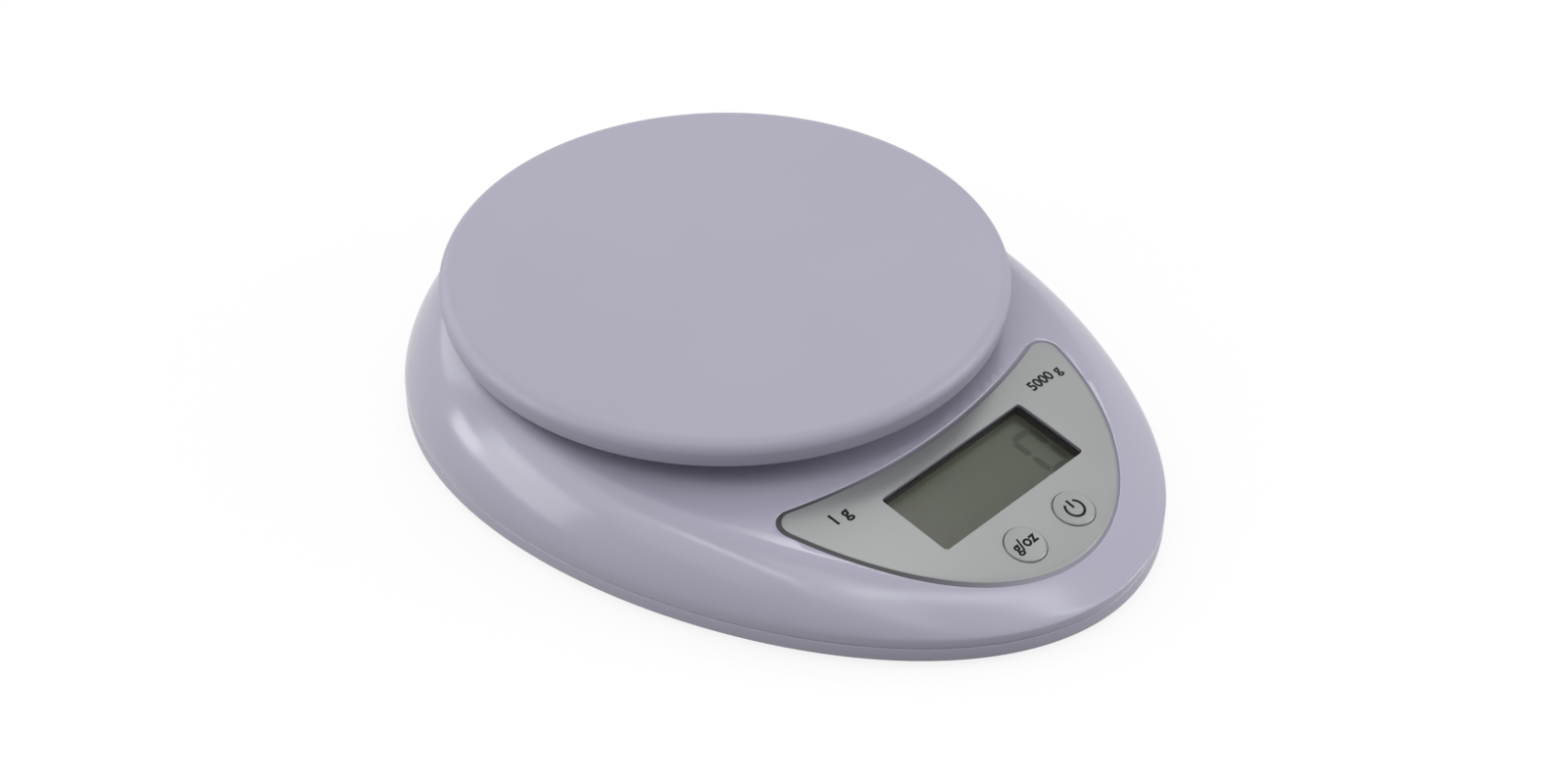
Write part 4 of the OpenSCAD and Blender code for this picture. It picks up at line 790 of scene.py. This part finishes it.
def lettering(text, height):
    """A word in the plain built-in face as flat points and faces, its middle at the origin, that high."""
    curve = bpy.data.curves.new("word", "FONT")
    # The offset makes the strokes bolder without filling the letters' eyes
    curve.body, curve.extrude, curve.offset, curve.resolution_u = text, 0.01, 0.026, 6
    obj = bpy.data.objects.new("word", curve)
    bpy.context.scene.collection.objects.link(obj)
    mesh = final_mesh(obj)
    points = np.empty(3 * len(mesh.vertices))
    mesh.vertices.foreach_get("co", points)
    points = points.reshape(-1, 3)
    faces = [list(p.vertices) for p in mesh.polygons]
    bpy.data.objects.remove(obj)
    low, high = points.min(0), points.max(0)
    points[:, :2] = (points[:, :2] - (low[:2] + high[:2]) / 2) * height / (high[1] - low[1])
    points[:, 2] = np.where(points[:, 2] > 0, 1.0, 0.0)
    return points, faces


def strip(path, width):
    """A flat bar of this width along a path, as rings of four corners with a height of 0 or 1."""
    along = np.gradient(path, axis=0)
    along /= np.linalg.norm(along, axis=1, keepdims=True)
    side = width / 2 * np.stack([-along[:, 1], along[:, 0]], -1)
    corners = [np.column_stack([path + k * side, np.full(len(path), z)])
               for k, z in ((-1, 0), (1, 0), (1, 1), (-1, 1))]
    return loft(np.stack(corners, 1))


def power_mark(size):
    """The common sign for power: a ring open at the top, and an upright bar in the opening."""
    q = np.radians(np.linspace(125, 415, 49))
    ring = strip(size / 2 * np.stack([np.cos(q), np.sin(q)], -1), size / 7)
    bar = strip(np.array([[0, 0.05 * size], [0, 0.3 * size], [0, 0.58 * size]]), size / 7)
    return together([ring, bar])


def build_print(name, flat, x, y, body, over_skin):
    """A flat shape laid on the label or a key. A function gives that face's height over the skin."""
    points, faces = flat
    px, py = x + points[:, 0], y + points[:, 1]
    z = skin_z(px, py) + over_skin(px, py) + INK_T * points[:, 2]
    return dress(raw_object(name, (np.column_stack([px, py, z]), faces)), body, "print_ink")


def on_film(x, _):
    """The film's face lies a little below the skin."""
    return np.full(len(x), -LABEL_SINK)


def on_key(key_x):
    """The key's face is dished: its rise grows with the square of the distance from its middle. The print
    lies a hundredth of a millimetre over it."""
    def rise(x, y):
        far = np.hypot(x - key_x, (y - KEY_Y) / COS)
        return KEY_RISE - KEY_DISH * (1 - far ** 2 / (KEY_D / 2) ** 2) + 0.01
    return rise


def build_digit():
    """A faint nought at the right end of the display: six bars with pointed ends, on the glass."""
    h, wide, t, gap = 13.5, 6.6, 1.9, 0.25
    x, v = 21.3, -1.8
    heights = (0.005 - GLASS_DEPTH, 0.03 - GLASS_DEPTH)
    solids = []
    for cx, cv, upright in ((0, h / 2, 0), (0, -h / 2, 0), (-wide / 2, h / 4, 1), (wide / 2, h / 4, 1),
                            (-wide / 2, -h / 4, 1), (wide / 2, -h / 4, 1)):
        long = (h / 2 if upright else wide) / 2 - gap
        q = np.array([[-long, 0], [-long + t / 2, -t / 2], [long - t / 2, -t / 2],
                      [long, 0], [long - t / 2, t / 2], [-long + t / 2, t / 2]])
        if upright:
            q = q @ np.array([[0, 1], [-1, 0]])
        q = q + [x + cx, v + cv]
        solids.append(loft([on_panel(np.column_stack([q, np.full(6, z)])) for z in heights]))
    return dress(raw_object("display_digit", together(solids)), "base", "segment_ink")


build_housing()
build_cover()
build_platform()
build_label()
build_bead_painted_shade()
build_window()
build_shroud()
build_key("unit_key_cap", -KEY_X, "unit_key", "unit_key")
build_key("power_key_cap", KEY_X, "power_key", "power_key")
build_print("print_capacity", lettering("5000 g", 4.2), 38.9, -53.3, "base", on_film)
build_print("print_step", lettering("1 g", 5.0), -38.0, -52.2, "base", on_film)
build_print("print_unit", lettering("g/oz", 4.5), -KEY_X, KEY_Y, "unit_key", on_key(-KEY_X))
build_print("print_power", power_mark(5.0), KEY_X, KEY_Y - 0.3, "power_key", on_key(KEY_X))
build_digit()


# The camera at the photograph's place, the floor and the light

# Angles in degrees; the point looked at, the shifts to the right and down, and the distance in millimetres
CAMERA_TURN, CAMERA_HEIGHT, CAMERA_ROLL = -46.93, 38.33, 0.49
CAMERA_AIM, CAMERA_RIGHT, CAMERA_DOWN, CAMERA_FAR = (0, PLATFORM_Y, 15), 15.556, 13.618, 772
FOCAL_PX, FRAME_PX, SENSOR = 2946, 1600, 36
FLOOR_R, FLOOR_DEPTH, FLOOR_GAP = 6000, 20, 0.02
LAMP_FAR = 1.3
# Broad lamps round the object, and small ones that give the glints on the shoulder and the label's sheen.
# Each has a turn from +X and a height in degrees, a power in watts and a side in metres
LAMPS = (
    ("front_right", -45, 18, 6.2, 0.6),
    ("front_right_high", -45, 45, 0.5, 0.6),
    ("back", 100, 25, 2.3, 0.6),
    ("left_back", 145, 18, 3.3, 0.6),
    ("left_back_high", 145, 42, 1.2, 0.6),
    ("left_high", 180, 45, 0.8, 0.6),
    ("right_back", 45, 20, 0.8, 0.6),
    ("front_left_high", -137, 60, 1.4, 0.6),
    ("sheen", 22, 60, 1.5, 0.3),
    ("glint_left", 141, 25, 0.15, 0.2),
    ("glint_low", 128, 8, 1.0, 0.25),
)


def stand(obj, right, up, back, spot):
    """Puts a camera or lamp at a spot in metres, with its three axes along these directions."""
    turn = np.eye(4)
    turn[:3, 0], turn[:3, 1], turn[:3, 2], turn[:3, 3] = right, up, back, spot
    obj.matrix_world = Matrix(turn.tolist())
    bpy.context.scene.collection.objects.link(obj)


def place_camera():
    """The camera looks back along a line at these angles, rolled a little, and shifted in its own plane."""
    a, e, roll = (math.radians(angle) for angle in (CAMERA_TURN, CAMERA_HEIGHT, CAMERA_ROLL))
    back = np.array([math.sin(a) * math.cos(e), -math.cos(a) * math.cos(e), math.sin(e)])
    right = np.array([math.cos(a), math.sin(a), 0.0])
    up = np.cross(right, -back)
    right, up = right * math.cos(roll) + up * math.sin(roll), up * math.cos(roll) - right * math.sin(roll)
    spot = np.array(CAMERA_AIM) + right * CAMERA_RIGHT - up * CAMERA_DOWN + back * CAMERA_FAR
    cam = bpy.data.cameras.new("camera")
    cam.lens, cam.sensor_width = SENSOR * FOCAL_PX / FRAME_PX, SENSOR
    cam.clip_start, cam.clip_end = 0.05, 50
    obj = bpy.data.objects.new("camera", cam)
    stand(obj, right, up, back, spot * MM)
    bpy.context.scene.camera = obj


def area_light(name, spot, aim, size, power):
    """A soft lamp of this size that faces a point."""
    lamp = bpy.data.lights.new(name, "AREA")
    lamp.shape, lamp.size, lamp.size_y, lamp.energy = "RECTANGLE", size[0], size[1], power
    back = np.array(spot, float) - np.array(aim, float)
    back /= np.linalg.norm(back)
    right = np.cross([0, 0, 1.0], back)
    right /= np.linalg.norm(right)
    stand(bpy.data.objects.new(name, lamp), right, np.cross(back, right), back, spot)


def side_light(name, turn, rise, power, size):
    """A square lamp that faces the object, in a direction given by its turn from +X and its height."""
    a, e = math.radians(turn), math.radians(rise)
    spot = LAMP_FAR * np.array([math.cos(a) * math.cos(e), math.sin(a) * math.cos(e), math.sin(e)])
    area_light(name, spot, (0, 0, 0), (size, size), power)


def seen_rays(tree, path):
    """A node that is 1 for camera, transmission and glossy rays, so that glass and gloss show the room."""
    first = add(tree, "Math", links={0: (path, "Is Camera Ray"), 1: (path, "Is Transmission Ray")},
                operation="MAXIMUM")
    return add(tree, "Math", links={0: (first, 0), 1: (path, "Is Glossy Ray")}, operation="MAXIMUM")


def build_stage():
    """A round pale floor under the feet. The camera sees it nearly white, with the object's soft shadow."""
    floor = raw_object("floor", stack(disc(FLOOR_R, 96), [(0, -FLOOR_DEPTH), (0, -FLOOR_GAP)]))
    mat = bpy.data.materials.new("pale floor")
    mat.use_nodes = True
    tree = mat.node_tree
    tree.nodes.clear()
    path = add(tree, "LightPath")
    seen = seen_rays(tree, path)
    shade = add(tree, "ValToRGB", links={"Fac": (path, "Is Camera Ray")})
    for stop, code in zip(shade.color_ramp.elements, ("#8c8c8c", "#fbfbfb")):
        stop.color = linear(code)
    paint = add(tree, "BsdfDiffuse", links={"Color": (shade, "Color")})
    glow = add(tree, "Emission", {"Color": linear("#ffffff"), "Strength": 1.0})
    share = add(tree, "MapRange", {"To Min": 0.0, "To Max": 0.85}, {"Value": (seen, 0)})
    both = add(tree, "MixShader", links={0: (share, "Result"), 1: (paint, "BSDF"), 2: (glow, "Emission")})
    add(tree, "OutputMaterial", links={"Surface": (both, "Shader")})
    floor.data.materials.append(mat)


def build_world():
    """A pale room: white to the camera and in reflections. Its light on the object is softer, and grows
    from the horizon to the ceiling in step with the height of the direction."""
    world = bpy.data.worlds.new("room")
    bpy.context.scene.world = world
    world.use_nodes = True
    tree = world.node_tree
    tree.nodes.clear()
    seen = seen_rays(tree, add(tree, "LightPath"))
    ray = add(tree, "SeparateXYZ", links={"Vector": (add(tree, "TexCoord"), "Generated")})
    dome = add(tree, "MapRange", {"To Min": 0.29, "To Max": 0.60}, {"Value": (ray, "Z")})
    strength = add(tree, "Mix", {"B": 1.0}, {"Factor": (seen, 0), "A": (dome, "Result")})
    sky = add(tree, "Background", {"Color": linear("#ffffff")}, {"Strength": (strength, "Result")})
    add(tree, "OutputWorld", links={"Surface": (sky, "Background")})


place_camera()
build_stage()
build_world()
for lamp in LAMPS:
    side_light(*lamp)
# Two long lamps straight over the front and left edges, for the bright lines on the shoulder
area_light("strip_front", (0.1, -0.47, 1.2), (0.1, -0.469, 0), (1.25, 0.08), 1.6)
area_light("strip_left", (-0.79, -0.08, 1.2), (-0.79, -0.079, 0), (0.08, 0.6), 0.9)

bpy.context.scene.view_settings.view_transform = "Standard"
